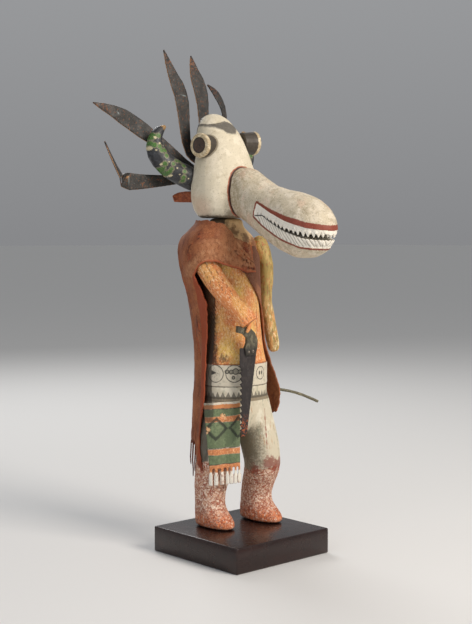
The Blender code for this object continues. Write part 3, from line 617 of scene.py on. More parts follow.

# %% [markdown]
# The muzzle's clay has been handled more than the head's, so it looks tan and dull.
# The lips are red-brown, and grey painted shade in the grooves draws the chalk white teeth apart.

# %% The muzzle: the paint
muzzle = painted("tan_clay_paint", "#c9bca2", [
    # The muzzle is dirtier at its root, pinker in the middle and whiter towards its tip
    coat("#ded2bd", size=12, cover=(0.45, 0.6), strength=0.7),
    coat("#a5967a", size=7, cover=(0.5, 0.66), strength=0.6),
    coat("#9c8b6b", field="root", soft=16, size=3, cover=(0.38, 0.6), strength=0.75),
    coat("#d8b9a0", size=18, cover=(0.52, 0.66), strength=0.5),
    coat("#857558", size=1.4, cover=(0.56, 0.66), strength=0.6),
    coat("#4d4233", size=0.9, cover=(0.65, 0.71), strength=0.6),
    coat("#efe8da", size=1.6, cover=(0.6, 0.68), strength=0.6),
    coat("#7f2c13", field="lips", soft=0.4, size=1.6, ragged=0.5, strength=0.96),
    coat("#c06a48", field="lips", edge=-0.4, soft=0.4, size=1.4, cover=(0.6, 0.68),
         strength=0.5),
    coat("#ece6d8", field="mouth", edge=-0.1, soft=0.3, strength=0.97),
    # Grey painted shade in the grooves between the teeth
    coat("#a39886", field="grooves", edge=-0.5, soft=0.5, size=2, ragged=0.2, strength=0.75),
    coat("#cfc2ab", field="mouth", edge=-0.2, size=1.2, cover=(0.58, 0.66), strength=0.6),
    # A near-black line of painted shadow in the bite, between the two rows of teeth
    coat("#1b100b", field="gap", soft=0.3, strength=0.95)],
    roughness=(0.5, 0.7), reliefs=((1.0, 0.10, (1, 1, 1)), (4.0, 0.12, (1, 1, 1))))
dress(snout, muzzle)

# %% [markdown]
# ## Upper teeth
# The upper teeth are a saw edge of small wedges that hang from the lip, all the way round
# the tip. Each starts as a cone of four sides, is flattened, gets its edges eased, and is set
# square to the muzzle's plan. Repeating one small shape is lighter than carving the row.

# %% Upper teeth: places on the muzzle's plan
def on_plan(distance):
    """The place and the outward way at a distance round the muzzle's plan."""
    for (wide, fore), (next_wide, next_fore) in zip(PLAN, PLAN[1:]):
        length = math.hypot(next_wide - wide, next_fore - fore)
        if distance <= length:
            share = distance / length
            place = (wide + (next_wide - wide) * share, fore + (next_fore - fore) * share)
            return place, ((fore - next_fore) / length, (next_wide - wide) / length)
        distance -= length
    return PLAN[-1], (0.0, -1.0)


# %% Upper teeth: the row
TOOTH_WIDE = 5.0
TOOTH_DEEP = 3.4
TOOTH_TALL = 5.2
TOOTH_INSET = 2.9
TOOTH_ROOT_UP = 0.8
plan_length = sum(math.dist(a, b) for a, b in zip(PLAN, PLAN[1:]))
bm = bmesh.new()
for number in range(int(plan_length / UPPER_PITCH) - 2):
    (wide, fore), (out_x, out_y) = on_plan(plan_length - UPPER_PITCH * (number + 0.5))
    edge = np.interp(fore, [y for y, z in BITE], [z for y, z in BITE])
    half_gap = np.interp(fore, [-140, -118, -97, -78], [2.3, 2.1, 1.3, 0.6])
    for hand in (-1, 1):
        # No two carved teeth are quite the same size
        size = 1 + 0.12 * math.sin(7.0 * number + hand)
        made = bmesh.ops.create_cone(bm, cap_ends=True, segments=4, radius1=0.7,
                                     radius2=0.12, depth=1.0)
        turn = Matrix.Rotation(math.radians(45), 4, "Z")
        down = Matrix.Rotation(math.radians(180), 4, "X")
        grow = Matrix.Diagonal((TOOTH_WIDE * size / 1000, TOOTH_DEEP / 1000,
                                TOOTH_TALL * size / 1000, 1.0))
        heading = Matrix.Rotation(math.atan2(out_y, hand * out_x) + math.pi / 2, 4, "Z")
        middle = at(hand * (wide - out_x * TOOTH_INSET), fore - out_y * TOOTH_INSET,
                    edge + half_gap + TOOTH_ROOT_UP)
        bmesh.ops.transform(bm, verts=made["verts"],
                            matrix=Matrix.Translation(middle) @ heading @ grow @ down @ turn)
bmesh.ops.bevel(bm, geom=bm.edges[:], offset=0.0003, segments=2, profile=0.5,
                affect="EDGES", material=-1)
bmesh.ops.recalc_face_normals(bm, faces=bm.faces)
teeth_mesh = bpy.data.meshes.new("upper_teeth")
bm.to_mesh(teeth_mesh)
bm.free()
teeth_mesh.shade_smooth()
teeth = bpy.data.objects.new("upper_teeth", teeth_mesh)
scene.collection.objects.link(teeth)
print("upper teeth:", len(teeth_mesh.vertices), "vertices")

# %% Upper teeth: the paint
tooth_white = painted("chalk_white_tooth_paint", "#ece6d8", [
    # Chalk white gone tan and grey in flecks, so that the teeth look worn and dry
    coat("#b8ab94", size=1.6, cover=(0.52, 0.66), strength=0.6),
    coat("#6b5a45", size=1.0, cover=(0.64, 0.7), strength=0.5)],
    roughness=(0.5, 0.65), reliefs=((0.8, 0.06, (1, 1, 1)),))
dress(teeth, tooth_white)

# %% [markdown]
# ## Eyes
# Each eye is a round peg: a cream ring with a dark pupil that has cracked as it dried, and a
# black back ring. A new cylinder would look too true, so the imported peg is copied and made
# uneven. Its paint follows two numbers, the distance from the peg's middle line and the
# depth behind its face.

# %% Eyes
eye_paint = painted("cracked_eye_paint", "#b8a583", [
    # Dry cream paint, and a dark pupil whose open cracks hold a shadow
    coat("#e2d3b3", size=3, cover=(0.47, 0.6), strength=0.7),
    coat("#7d6a4c", size=1.4, cover=(0.55, 0.66), strength=0.7),
    coat("#2a2420", field="back_ring", soft=0.5, size=2, ragged=0.5, strength=0.95),
    coat("#57493a", field="back_ring", size=1.2, cover=(0.58, 0.66), strength=0.6),
    coat("#3a2a22", field="pupil", soft=0.3, size=1.5, ragged=0.4, strength=0.97),
    coat("#6d4a35", field="pupil", edge=-0.8, size=1.6, cover=(0.54, 0.64), strength=0.6),
    coat("#120d0b", field="pupil", both=True, edge=0.55, soft=0.3, size=1.3, ragged=0.35),
    coat("#0e0a09", field="cracks", soft=0.15, strength=0.9, depth=-0.2)],
    roughness=(0.45, 0.65), reliefs=((1.0, 0.08, (1, 1, 1)),))
PUPIL_RADIUS = 7.4
GROOVE_RADIUS = 6.7
CRACK_RADIUS = 5.6
CRACK_STEP = 360 / 7
FACE_DEPTH = 2.5
RING_DEPTH = 4.2
for node, name, middle, way in (
        ("eye_right", "eye_peg_right", (-37.0, 11.6, 383.6), (-0.985, -0.17, 0.0)),
        ("eye_left", "eye_peg_left", (39.5, 10.6, 389.0), (0.985, -0.17, 0.0))):
    eye = take(node, name)
    rebuild(eye, 0.58)
    soften(eye, 9)
    spots = places(eye)
    from_face = spots - np.array(middle)
    axis = np.array(way) / np.linalg.norm(way)
    behind = -from_face @ axis
    out = np.linalg.norm(from_face + behind[:, None] * axis, axis=1)
    around = np.degrees(np.arctan2(from_face[:, 2], from_face[:, 1] * axis[0]))
    carve(eye, 0.08 * lumps(spots, 2.5, 9) - 0.35 * ease(-np.abs(out - GROOVE_RADIUS), -0.8, 0.0)
          * ease(-behind, -2.0, -1.0))
    wander = 14 * lumps(spots, 2.2, 4)
    # Seven wandering cracks run out from the middle, each an angle from the next
    spokes = np.abs((around + wander + CRACK_STEP / 2) % CRACK_STEP - CRACK_STEP / 2)
    cracks = np.radians(spokes) * out - 0.16
    keep(eye, "pupil", np.where(behind < FACE_DEPTH, out - PUPIL_RADIUS, 9))
    keep(eye, "cracks", np.where((out < CRACK_RADIUS) & (behind < FACE_DEPTH), cracks, 9))
    keep(eye, "back_ring", RING_DEPTH - behind)
    dress(eye, eye_paint)

# %% [markdown]
# ## Horns
# The horns are thick crescents, painted slate black with green bands that once had cream
# edges. They could be lofted anew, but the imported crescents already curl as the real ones
# do, so their copies are softened. The bands are kept as distances in the plane of the
# curl, so that each runs round the horn. The left horn's pattern mirrors the right one's.

# %% Horns
GREEN_BANDS = [(-52.7, 360.3, 2.4), (-51, 365.7, 2.4), (-46.5, 368.6, 2.2), (-42, 368.6, 2.2),
               (-39.5, 364, 2.4), (-40.1, 358, 2.4), (-40.9, 352.5, 2.4), (-40.5, 348.9, 2.2),
               (-59.4, 357.9, 2.8), (-55.4, 355.4, 3.2), (-53.9, 357.7, 2.6),
               (-56.8, 379.1, 2.7), (-56.9, 373.6, 2.7), (-59, 365.6, 2.8), (-60, 360.4, 2.8),
               (-70.8, 385.5, 2.8), (-68.1, 384, 3.0), (-63.1, 382.8, 3.0), (-61.1, 378.9, 2.8),
               (-70, 391.1, 2.8), (-68, 394.2, 2.6), (-63.5, 393.5, 2.8)]
CREAM_SPOTS = [(-71.7, 380.5, 2.6), (-66.7, 391.6, 1.8), (-62.9, 386, 1.6), (-61.9, 365, 1.5),
               (-51.6, 353.8, 1.7), (-66.8, 379.2, 1.3), (-47.5, 361.5, 1.3), (-44.8, 355, 1.2),
               (-72.6, 388.4, 1.9), (-55, 367.5, 1.2), (-36.5, 351, 1.2), (-57.8, 384, 1.3)]
horn_paint = painted("green_banded_horn_paint", "#2a2b2e", [
    # Smooth paint with a faint gloss, grey where it is rubbed and cream where it has chipped
    coat("#45484c", size=3, cover=(0.5, 0.66), strength=0.7),
    coat("#8c8d84", size=1.1, cover=(0.64, 0.7), strength=0.7),
    coat("#b9b48a", field="bands", edge=0.3, soft=0.5, size=1.0, ragged=0.8, strength=0.35),
    coat("#35611f", field="bands", edge=-0.7, soft=0.5, size=1.3, ragged=0.9, strength=0.9),
    coat("#67963d", field="bands", edge=-0.8, soft=0.5, size=1.0, cover=(0.52, 0.62),
         strength=0.75),
    coat("#1f2320", size=1.0, cover=(0.58, 0.66), strength=0.8),
    coat("#ddd0a8", field="cream", edge=-0.5, soft=0.4, size=1.0, ragged=0.7, strength=0.8),
    coat("#b98f55", field="tip", soft=1.5, size=2.5, ragged=1.5, strength=0.6)],
    roughness=(0.4, 0.62), reliefs=((1.0, 0.10, (1, 1, 1)), (3.0, 0.10, (1, 1, 1))))
for node, name, hand in (("horn_right", "crescent_horn_right", 1),
                         ("horn_left", "crescent_horn_left", -1)):
    horn = take(node, name)
    rebuild(horn, 0.7)
    soften(horn, 30)
    spots = places(horn)
    carve(horn, 0.22 * lumps(spots, 7, 11) + 0.12 * lumps(spots, 2.5, 12))
    curl = np.column_stack((spots[:, 0] * hand, np.zeros(len(spots)), spots[:, 2]))
    keep(horn, "bands", from_patches(curl, [(x, 0, z, r) for x, z, r in GREEN_BANDS]))
    keep(horn, "cream", from_patches(curl, [(x, 0, z, r) for x, z, r in CREAM_SPOTS]))
    keep(horn, "tip", from_patches(curl, [(-53, 0, 403.5, 5)]))
    dress(horn, horn_paint)

# %% [markdown]
# ## Cut blades behind the mask
# The five stiff blades are cut from thick leather and painted dark, and they look rusty
# where the paint has gone. Their cut edges are bare, so they show as light lines. The
# thickness behind each vertex tells the flats, where it is small, from the edges, where it
# is large. A plane with a thickness would do for a straight blade, but these are bent and
# cut by hand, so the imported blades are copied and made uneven.

# %% Cut blades
blade_paint = painted("dark_painted_blade_leather", "#252320", [
    # Dull black on the flats, with rust-brown wear, a few grey scratches and pale cut edges
    coat("#383632", size=6, cover=(0.45, 0.62), strength=0.8),
    coat("#171513", size=9, cover=(0.52, 0.66), strength=0.8),
    coat("#6b4022", size=1.8, stretch=(1, 1, 1.5), cover=(0.57, 0.66), strength=0.85),
    coat("#8a5128", field="worn_tip", soft=16, size=2.2, cover=(0.50, 0.64), strength=0.85),
    coat("#9aa19c", size=1.2, cover=(0.66, 0.71), strength=0.6),
    coat("#7e8a8b", field="crease", edge=0.6, soft=0.35, size=2, ragged=0.35, strength=0.75),
    coat("#a67a4e", field="edge", soft=0.5, size=2.5, ragged=0.6, strength=0.85)],
    roughness=(0.5, 0.72), reliefs=((1.0, 0.09, (1, 1, 1)), (3.5, 0.15, (1, 1, 3))))
BLADES = [(1, (-32, 67, 474), ((-28, 62, 440), (-12, 58, 437.5))),
          (2, (-6, 60, 472), ((-12, 54, 441), (14, 54, 440))),
          (3, (16, 58, 448), ((30, 50, 425), (16, 55, 425))),
          (4, (-112, 79, 424), ((-97, 70, 425), (-88, 72, 409))),
          (5, (-106, 73, 384), ((-84, 64, 358), (-84, 66, 340)))]
for number, tip, crease in BLADES:
    blade = take(f"feather_{number}", f"cut_blade_{number}")
    rebuild(blade, 0.72)
    soften(blade, 4)
    spots = places(blade)
    thick = thickness(blade, 4.5)
    carve(blade, 0.10 * lumps(spots, 6, 20 + number) + 0.05 * lumps(spots, 2, 30 + number)
          - 0.16 * ease(-from_line(spots, crease), -1.6, -0.4))
    # The third blade is dark to its edges, and the bent one has only a thin bare line
    keep(blade, "edge", {3: 9.0, 5: 3.6}.get(number, 2.6) - thick)
    keep(blade, "worn_tip", from_patches(spots, [(*tip, 6)]))
    keep(blade, "crease", from_line(spots, crease))
    dress(blade, blade_paint)

# %% [markdown]
# ## Leather tab
# A short tab of red-brown leather stands out behind the mask. Leather cut with a knife has a
# paler raw edge and a fine pebbled skin, which the relief of the material gives. The packed
# tab has the right cut already, so its copy only gets eased corners and a little unevenness.

# %% Leather tab
tab = take("head_tab", "leather_tab")
rebuild(tab, 0.45)
soften(tab, 8)
spots = places(tab)
carve(tab, 0.2 * lumps(spots, 5, 41) + 0.08 * lumps(spots, 1.5, 42))
keep(tab, "edge", 2.8 - thickness(tab, 5))
tab_leather = painted("red_brown_tab_leather", "#84401f", [
    # Warm brown leather, dark where it is greasy, and paler at the raw edge
    coat("#ab5b2f", size=4, cover=(0.42, 0.6), strength=0.85),
    coat("#35140b", size=2, cover=(0.58, 0.68), strength=0.7),
    coat("#a65a33", field="edge", soft=0.6, size=1.5, ragged=0.5, strength=0.7)],
    roughness=(0.6, 0.8), reliefs=((0.7, 0.10, (1, 1, 1)),))
dress(tab, tab_leather)

# %% [markdown]
# ## Body, legs and feet
# Torso, legs and feet are one carved root. A belt and a kilt stand on it in low relief and
# are painted white, with the belt's figures drawn in dark lines. The shins are roughened all
# over and painted a pinkish white with a net of red cracks, and the coat of the cracks also
# sinks them a little. Drawn lines are kept as distances, because a line then stays sharp
# however coarse the mesh is. First the carving.

# %% Body, legs and feet: the carving
BELT = (144.0, 165.0)
body = take("body", "carved_body")
rebuild(body, 1.05)
spots = places(body)
belt_edges = np.minimum(np.abs(spots[:, 2] - BELT[0]), np.abs(spots[:, 2] - BELT[1]))
soften(body, 70, ease(belt_edges, 0.8, 5.0))
spots = places(body)
height = spots[:, 2]
left = spots[:, 0] > 0
LEFT_KNEE = 58
RIGHT_KNEE = 66
knee_line = np.where(left, LEFT_KNEE + 0.16 * (spots[:, 0] - 28), RIGHT_KNEE)
shin = height - knee_line + 4 * lumps(spots, 9, 51)
rough_skin = ease(-shin, -3, 4)
stipple = lumps(spots, 3.4, 52, (1, 1, 1.7))
stipple += 0.6 * lumps(spots, 1.9, 53, (1, 1, 1.5))
tool_marks = lumps(spots, 10, 54, (1, 1, 3)) + 0.5 * lumps(spots, 3.2, 55, (1, 1, 2.5))
belt_groove = ease(-np.abs(height - (BELT[0] - 0.9)), -1.1, 0) * 0.55
belt_groove += ease(-np.abs(height - (BELT[1] + 0.9)), -1.1, 0) * 0.3
toes = np.zeros(len(spots))
for middle, fore in ((-28, -25), (29.5, -34)):
    for step in (-7.8, -3.2, 1.6, 6.4):
        toe_line = [(middle + 0.8 * step, fore + 10, 10), (middle + step, fore - 1, 7),
                    (middle + 1.1 * step, fore - 8, 0)]
        toes = np.maximum(toes, ease(-from_line(spots, toe_line), -1.3, 0))
knots = [(-40.3, -3.6, 20.3), (-36.4, -8.6, 20.5), (-32, -10, 25), (-29.5, -9.6, 29)]
scar = ease(-from_line(spots, knots), -1.6, 0)
pits = ease(lumps(spots, 4.5, 56), 0.45, 0.62) * rough_skin
streak = [(17.0, -27.5, 118), (16.7, -29.4, 97.1), (17.0, -31.6, 72)]
crack = ease(-from_line(spots, streak), -0.9, 0) * ease(lumps(spots, 7, 57), -0.3, 0.1)
carve(body, 0.28 * stipple * rough_skin + 0.14 * tool_marks * (1 - rough_skin) - belt_groove
      - 0.7 * toes - 0.5 * scar - 0.35 * pits - 0.4 * crack)
print("body carved:", len(spots), "vertices")

# %% [markdown]
# The paint has to know where it is on the figure. So a number is kept at each vertex for
# each painted thing, such as the height over the belt or the distance from a ring. For a
# patch it is 0 on the outline and less than 0 inside, and for a drawn line it is the
# distance from the line. Where a thing can't be, it is 9 or more, which no coat reaches.

# %% Body, legs and feet: where the paint lies
spots = places(body)
turn = turn_of(spots)
keep(body, "shin", shin)
keep(body, "belt", np.maximum(BELT[0] - height, height - BELT[1]))
keep(body, "belt_foot", height - (BELT[0] - 0.8))
keep(body, "belt_head", height - (BELT[1] + 0.6))
keep(body, "cloth", height - BELT[0])
keep(body, "streak", from_line(spots, streak))
print("the belt runs from", BELT[0], "to", BELT[1], "mm above the soles")

# %% Body, legs and feet: the belt's figures
# Each ring or dot is the place of its middle and its radius
RINGS = [(-34.0, -9.1, 156.4, 8.6), (-21.9, -24.4, 156.6, 8.6), (10.0, -28.6, 155.6, 6.4),
         (33.0, -11.0, 156.4, 8.0), (-30.0, 18.0, 156.4, 8.4), (28.0, 20.0, 156.4, 8.4),
         (0.0, 30.0, 156.4, 8.4)]
keep(body, "rings", from_patches(spots, RINGS))
DOTS = [(-27.6, -19.6, 158.6, 1.9), (-24.3, -22.2, 158.4, 2.0), (-20.6, -24.9, 158.8, 2.9),
        (-16.4, -26.4, 158.4, 2.0), (-22.5, -23.6, 152.6, 1.5)]
keep(body, "dots", from_patches(spots, DOTS))
# The first ring holds a triangle, drawn flat round its middle, and the front one two moons
TRIANGLE_PLACE = (-34.4, -8.0, 157.2)
TRIANGLE = [(-3.6, 2.6), (-3.6, -2.6), (3.0, 0.0)]
sideways = np.hypot(spots[:, 0] - TRIANGLE_PLACE[0], spots[:, 1] - TRIANGLE_PLACE[1])
sideways = sideways * np.sign(TRIANGLE_PLACE[1] - spots[:, 1])
flat = np.column_stack((sideways, height - TRIANGLE_PLACE[2]))
near_ring = (spots[:, 0] < -25) & (np.abs(sideways) < 12)
marks = np.where(near_ring, in_outline(flat, TRIANGLE), 9)
MOON_LEFT = 10.2
MOON_HIGH = 155.8
MOONS_APART = 3.8
moon_across = (np.abs(spots[:, 0] - MOON_LEFT) - MOONS_APART / 2) / 0.75
moons = np.hypot(moon_across, (height - MOON_HIGH) / 1.5) - 1.5
keep(body, "marks", np.minimum(marks, np.where(spots[:, 1] < -20, moons, 9)))
print("belt figures:", len(RINGS), "rings and", len(DOTS), "dots")

# %% Body, legs and feet: the kilt's edge, the hatching and painted shade by the hide
# The way round the hips in millimetres, which the kilt's teeth and the hatching repeat along
HIP_RADIUS = 34
KILT_PITCH = 5.2
HATCH_PITCH = 3.4
arc = np.radians((turn + 180) % 360 - 180) * HIP_RADIUS
teeth_row = np.abs((arc + 400) % KILT_PITCH - KILT_PITCH / 2) / (KILT_PITCH / 2)
step_band = np.where((turn > 270) & (turn < 332), 1, 40)
keep(body, "kilt_teeth", np.maximum(height - (138.4 - 6.0 * teeth_row), 131 - height) * step_band)
keep(body, "kilt_band", (np.abs(height - 130.5) - 2.6) * step_band)
# Painted shadow on the body under the hide, round the back to a sharp edge on the right side
keep(body, "hide_shadow_on_body", np.where((turn > 90) & (height > 60), (turn - 284.0) * 0.62, 60))
slant = height * 0.8 + arc * 0.9 + 900
hatch = np.abs(slant % HATCH_PITCH - HATCH_PITCH / 2) - 0.55
in_hatch = np.maximum(np.abs(turn - 280) - 6.5, np.abs(height - 205) - 21)
keep(body, "hatch", np.maximum(hatch, in_hatch * 0.6))
# The right flank beside the hanging hide gets painted shade, as a band and as patches
keep(body, "flank", np.maximum(np.abs(turn - 279) - 9, np.abs(height - 190) - 25) * 0.6)
keep(body, "shade_beside_hide", from_patches(spots, [(-31, 0, 178, 8), (-33, -2, 168, 8), (-27, -14, 171, 4)]))
print("the kilt's painted teeth stand", KILT_PITCH, "mm apart")

# %% Body, legs and feet: chest, knees and soles
keep(body, "chest", 276 + 0.35 * spots[:, 0] - height)
keep(body, "chest_soil", from_patches(spots, [(-6, -8, 300, 6), (8, -10, 292, 6),
                                              (20, -8, 286, 7), (-14, -4, 306, 5)]))
keep(body, "sun", from_patches(spots, [(-24, -16, 180, 9), (-14, -22, 172, 9), (-24, -12, 262, 7),
                                       (-12, -18, 236, 8), (0, -24, 200, 8), (6, -24, 250, 9)]))
red_line = [(13.6, -17.6, 239), (12.4, -20.4, 208.7), (8.5, -24.6, 183.8), (2.9, -27.6, 166)]
keep(body, "red_line", from_line(spots, red_line))
keep(body, "knee", from_patches(spots, [(20.4, -31.4, 63, 7), (36, -29, 60, 7), (29, -32, 60, 7),
                                        (44, -20, 62, 6), (10, -20, 56, 5)]))
keep(body, "shade", np.where(left & (height < 118),
                             np.maximum(spots[:, 0] - 13.5 + 0.10 * np.abs(height - 72),
                                        np.abs(height - 66) - 34), 30))
keep(body, "foot", height - 13)
keep(body, "sole", height - 1.2)
print("numbers kept on the body:", len(body.data.attributes))

# %% [markdown]
# The coats are brushed on in order: the torso's flecks, then the white cloth and leg with
# the drawn lines over them, and last the shins and feet.

# %% Body, legs and feet: the paint
body_paint = painted("earth_paint_on_cottonwood_root", "#d4834a", [
    # Torso: orange over yellow and cream, worn in upright flecks
    coat("#dfae5f", size=20, cover=(0.44, 0.6), strength=0.7),
    coat("#e5c465", field="sun", soft=7, size=3, ragged=3, strength=0.7),
    coat("#eccd9d", size=1.5, stretch=(1, 1, 2.6), cover=(0.53, 0.62), strength=0.75),
    coat("#b9542a", size=1.3, stretch=(1, 1, 2.0), cover=(0.57, 0.66), strength=0.6),
    coat("#8a5a33", size=1.2, cover=(0.64, 0.71), strength=0.5),
    coat("#f3dfb4", size=0.9, stretch=(1, 1, 2.2), cover=(0.57, 0.65), strength=0.6),
    coat("#7a3d1e", size=3, stretch=(1, 1, 7), veins=True, cover=(0.984, 0.997), strength=0.5),
    coat("#d9ba88", field="chest", edge=-8, soft=4, size=5, ragged=2, strength=0.8),
    coat("#5e3a20", field="chest_soil", soft=3, size=4, ragged=4, strength=0.75),
    coat("#6e3419", field="red_line", edge=0.55, soft=0.3, size=4, ragged=0.25, strength=0.8),
    # Painted shade on the right flank beside the hide, in a band and in patches
    coat("#4a2415", field="flank", soft=3, size=5, ragged=3.0, strength=0.72),
    coat("#3a1d12", field="shade_beside_hide", soft=3, size=2.6, ragged=4, strength=0.8),
    coat("#160c09", field="hatch", soft=0.35, size=2, ragged=0.5, strength=0.9),
    # Belt, kilt and left leg: white clay, greyed and streaked
    coat("#cbc2ab", field="cloth", soft=0.4, strength=0.98),
    coat("#e0d9c6", field="cloth", size=9, cover=(0.5, 0.64), strength=0.7),
    coat("#8f9078", field="cloth", size=5, stretch=(1, 1, 2.5), cover=(0.55, 0.68),
         strength=0.6),
    coat("#b78a62", field="cloth", size=3, stretch=(1, 1, 5), cover=(0.61, 0.68), strength=0.6),
    coat("#5f5a48", field="shade", edge=-1, soft=7, size=2.0, ragged=3.5, strength=0.88),
    coat("#8f3f22", field="streak", edge=0.7, soft=0.5, size=5, ragged=0.7, strength=0.85),
    coat("#cfc7b3", field="belt", edge=0.2, soft=0.3, strength=0.97),
    coat("#a9a28c", field="belt", size=4, cover=(0.52, 0.66), strength=0.6),
    coat("#5a5344", field="rings", edge=-3.4, soft=1.6, size=1.6, cover=(0.5, 0.66),
         strength=0.5),
    coat("#2b2622", field="rings", both=True, edge=0.42, soft=0.25, size=2, ragged=0.2,
         strength=0.9),
    coat("#7a7566", field="dots", soft=0.3, strength=0.7),
    coat("#231f1b", field="dots", both=True, edge=0.42, soft=0.25, strength=0.9),
    coat("#231f1b", field="marks", soft=0.3, size=1.5, ragged=0.25, strength=0.92),
    coat("#75664d", field="kilt_band", soft=0.8, size=2, ragged=0.7, strength=0.8),
    coat("#4c463c", field="kilt_teeth", soft=0.5, size=2, ragged=0.6, strength=0.75),
    # The dark line along the belt's lower edge is painted shade in the groove under it
    coat("#35281c", field="belt_foot", both=True, edge=0.45, soft=0.3, size=4, ragged=0.25,
         strength=0.85),
    coat("#7a3d1c", field="belt_head", both=True, edge=0.6, soft=0.4, size=4, ragged=0.5,
         strength=0.7),
    # Painted shadow of the hide on the body, round the back to a sharp edge on the right
    coat("#2e261d", field="hide_shadow_on_body", soft=0.4, size=5, ragged=0.4, strength=0.8),
    # Shins and feet: a pinkish white ground with a net of fine red cracks
    coat("#cfa083", field="shin", soft=1.2, size=3, ragged=1.5, strength=0.97),
    coat("#f0dbc6", field="shin", size=2.2, cover=(0.45, 0.57), strength=0.85),
    coat("#7c2c1c", field="knee", soft=3, size=3, ragged=4, strength=0.8),
    coat("#7d6f5a", field="shade", edge=2, soft=6, size=1.8, cover=(0.45, 0.6), strength=0.65),
    coat("#cf6a38", field="foot", edge=2, soft=8, size=2.2, cover=(0.40, 0.56), strength=0.8),
    coat("#a84826", field="shin", size=4.4, veins=True, detail=4, cover=(0.958, 0.986),
         strength=0.85, depth=-0.35),
    coat("#8a3a22", field="shin", size=2.6, veins=True, cover=(0.968, 0.992), strength=0.6),
    coat("#e98a52", field="foot", soft=4, size=1.8, cover=(0.48, 0.6), strength=0.7),
    coat("#3a241a", field="sole", soft=0.7, size=3, ragged=0.8, strength=0.85)],
    roughness=(0.62, 0.85), reliefs=((1.1, 0.12, (1, 1, 2)), (3.0, 0.10, (1, 1, 2))))
dress(body, body_paint)

# %% [markdown]
# ## Arms
# The arms are pegs of the same root, pinned at the shoulders. New cylinders would lose the
# carver's bends and the fist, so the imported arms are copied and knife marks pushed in. The
# paint is worn in flecks that run along the limb, so the noise is turned to the arm's own
# direction and drawn out.

# %% Right arm
right_way = Vector((22, -49, -68)).to_track_quat("Z", "Y").to_euler()
FIST = np.array((-19, -41, 207))
DOWN_THE_ARM = np.array((0.254, -0.565, -0.785))


def off_fist(points):
    """How far each point is from the middle of the right fist."""
    return np.linalg.norm(points - FIST, axis=1)


arm_right = take("arm_right", "carved_arm_right")
rebuild(arm_right, 0.72)
# The fist isn't softened, so that its fingers stay crisp
soften(arm_right, 30, ease(off_fist(places(arm_right)), 9, 16))
spots = places(arm_right)
clear_of_fist = ease(off_fist(spots), 9, 16)
limb = np.column_stack((spots[:, 0], spots[:, 1], spots @ DOWN_THE_ARM / 3))
carve(arm_right, (0.16 * lumps(limb, 7, 61) + 0.12 * lumps(limb, 2.4, 62)) * clear_of_fist
      + 0.05 * lumps(spots, 1.5, 63))
keep(arm_right, "shoulder", 270 - spots[:, 2])
keep(arm_right, "fist", off_fist(spots) - 10)
hollows(arm_right, 5)
arm_paint = painted("worn_orange_arm_paint", "#d9874d", [
    # Dry earth paint, cream in short flecks where the clay shows, and red where it is thick
    coat("#e0ae62", size=12, turned=right_way, stretch=(1, 1, 2), cover=(0.45, 0.6),
         strength=0.6),
    coat("#f0d3a8", size=1.3, turned=right_way, stretch=(1, 1, 2.2), cover=(0.53, 0.63),
         strength=0.8),
    coat("#b5502a", size=1.2, turned=right_way, stretch=(1, 1, 2), cover=(0.57, 0.66),
         strength=0.6),
    coat("#a06b3c", size=1.2, cover=(0.63, 0.7), strength=0.5),
    coat("#f0d9b8", field="shoulder", soft=6, size=2.5, cover=(0.45, 0.6), strength=0.5),
    coat("#cf7a45", field="fist", soft=4, strength=0.5),
    # With a soft edge below 0 a coat lies above its edge, here all but the proud places
    coat("#5b2c17", field="hollow", edge=-7, soft=-3, strength=0.5)],
    roughness=(0.62, 0.82), reliefs=((1.2, 0.10, (1, 1, 1)), (3.0, 0.10, (1, 1, 1))))
dress(arm_right, arm_paint)

# %% Left arm
left_way = Vector((5, -7, -100)).to_track_quat("Z", "Y").to_euler()
arm_left = take("arm_left", "carved_arm_left")
rebuild(arm_left, 0.72)
soften(arm_left, 30)
spots = places(arm_left)
limb = spots / np.array((1, 1, 3))
carve(arm_left, 0.16 * lumps(limb, 7, 64) + 0.12 * lumps(limb, 2.4, 65)
      + 0.05 * lumps(spots, 1.5, 66))
keep(arm_left, "forearm", spots[:, 2] - 222)
left_arm_paint = painted("worn_olive_arm_paint", "#a08a4e", [
    # Thin yellow earth that looks olive over the wood, warmer and paler towards the shoulder
    coat("#bfa266", size=6, stretch=(1, 1, 3), cover=(0.45, 0.6), strength=0.8),
    coat("#75683d", size=3, stretch=(1, 1, 3), cover=(0.5, 0.64), strength=0.75),
    coat("#a5502c", size=1.4, stretch=(1, 1, 2.4), cover=(0.55, 0.64), strength=0.8),
    coat("#4c4326", size=1.1, stretch=(1, 1, 1.6), cover=(0.62, 0.69), strength=0.7),
    coat("#d09a5e", field="forearm", soft=14, size=3, turned=left_way, stretch=(1, 1, 3),
         cover=(0.42, 0.6), strength=0.85),
    coat("#f0dcae", field="forearm", soft=20, size=2, stretch=(1, 1, 3), cover=(0.52, 0.62),
         strength=0.75)],
    roughness=(0.62, 0.82), reliefs=((1.2, 0.10, (1, 1, 2)), (3.0, 0.10, (1, 1, 2))))
dress(arm_left, left_arm_paint)

# %% [markdown]
# ## Saw
# The blade is a thin iron plate, nearly black, with rust at its tip. The pistol grip is olive
# brown wood, held by two iron rivets whose domes shine. A rivet's head is a flattened ball,
# turned to the saw's own facing. Bare iron is metallic, so its material says so. The
# blade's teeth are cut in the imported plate, so its copy is rebuilt finely to keep them.

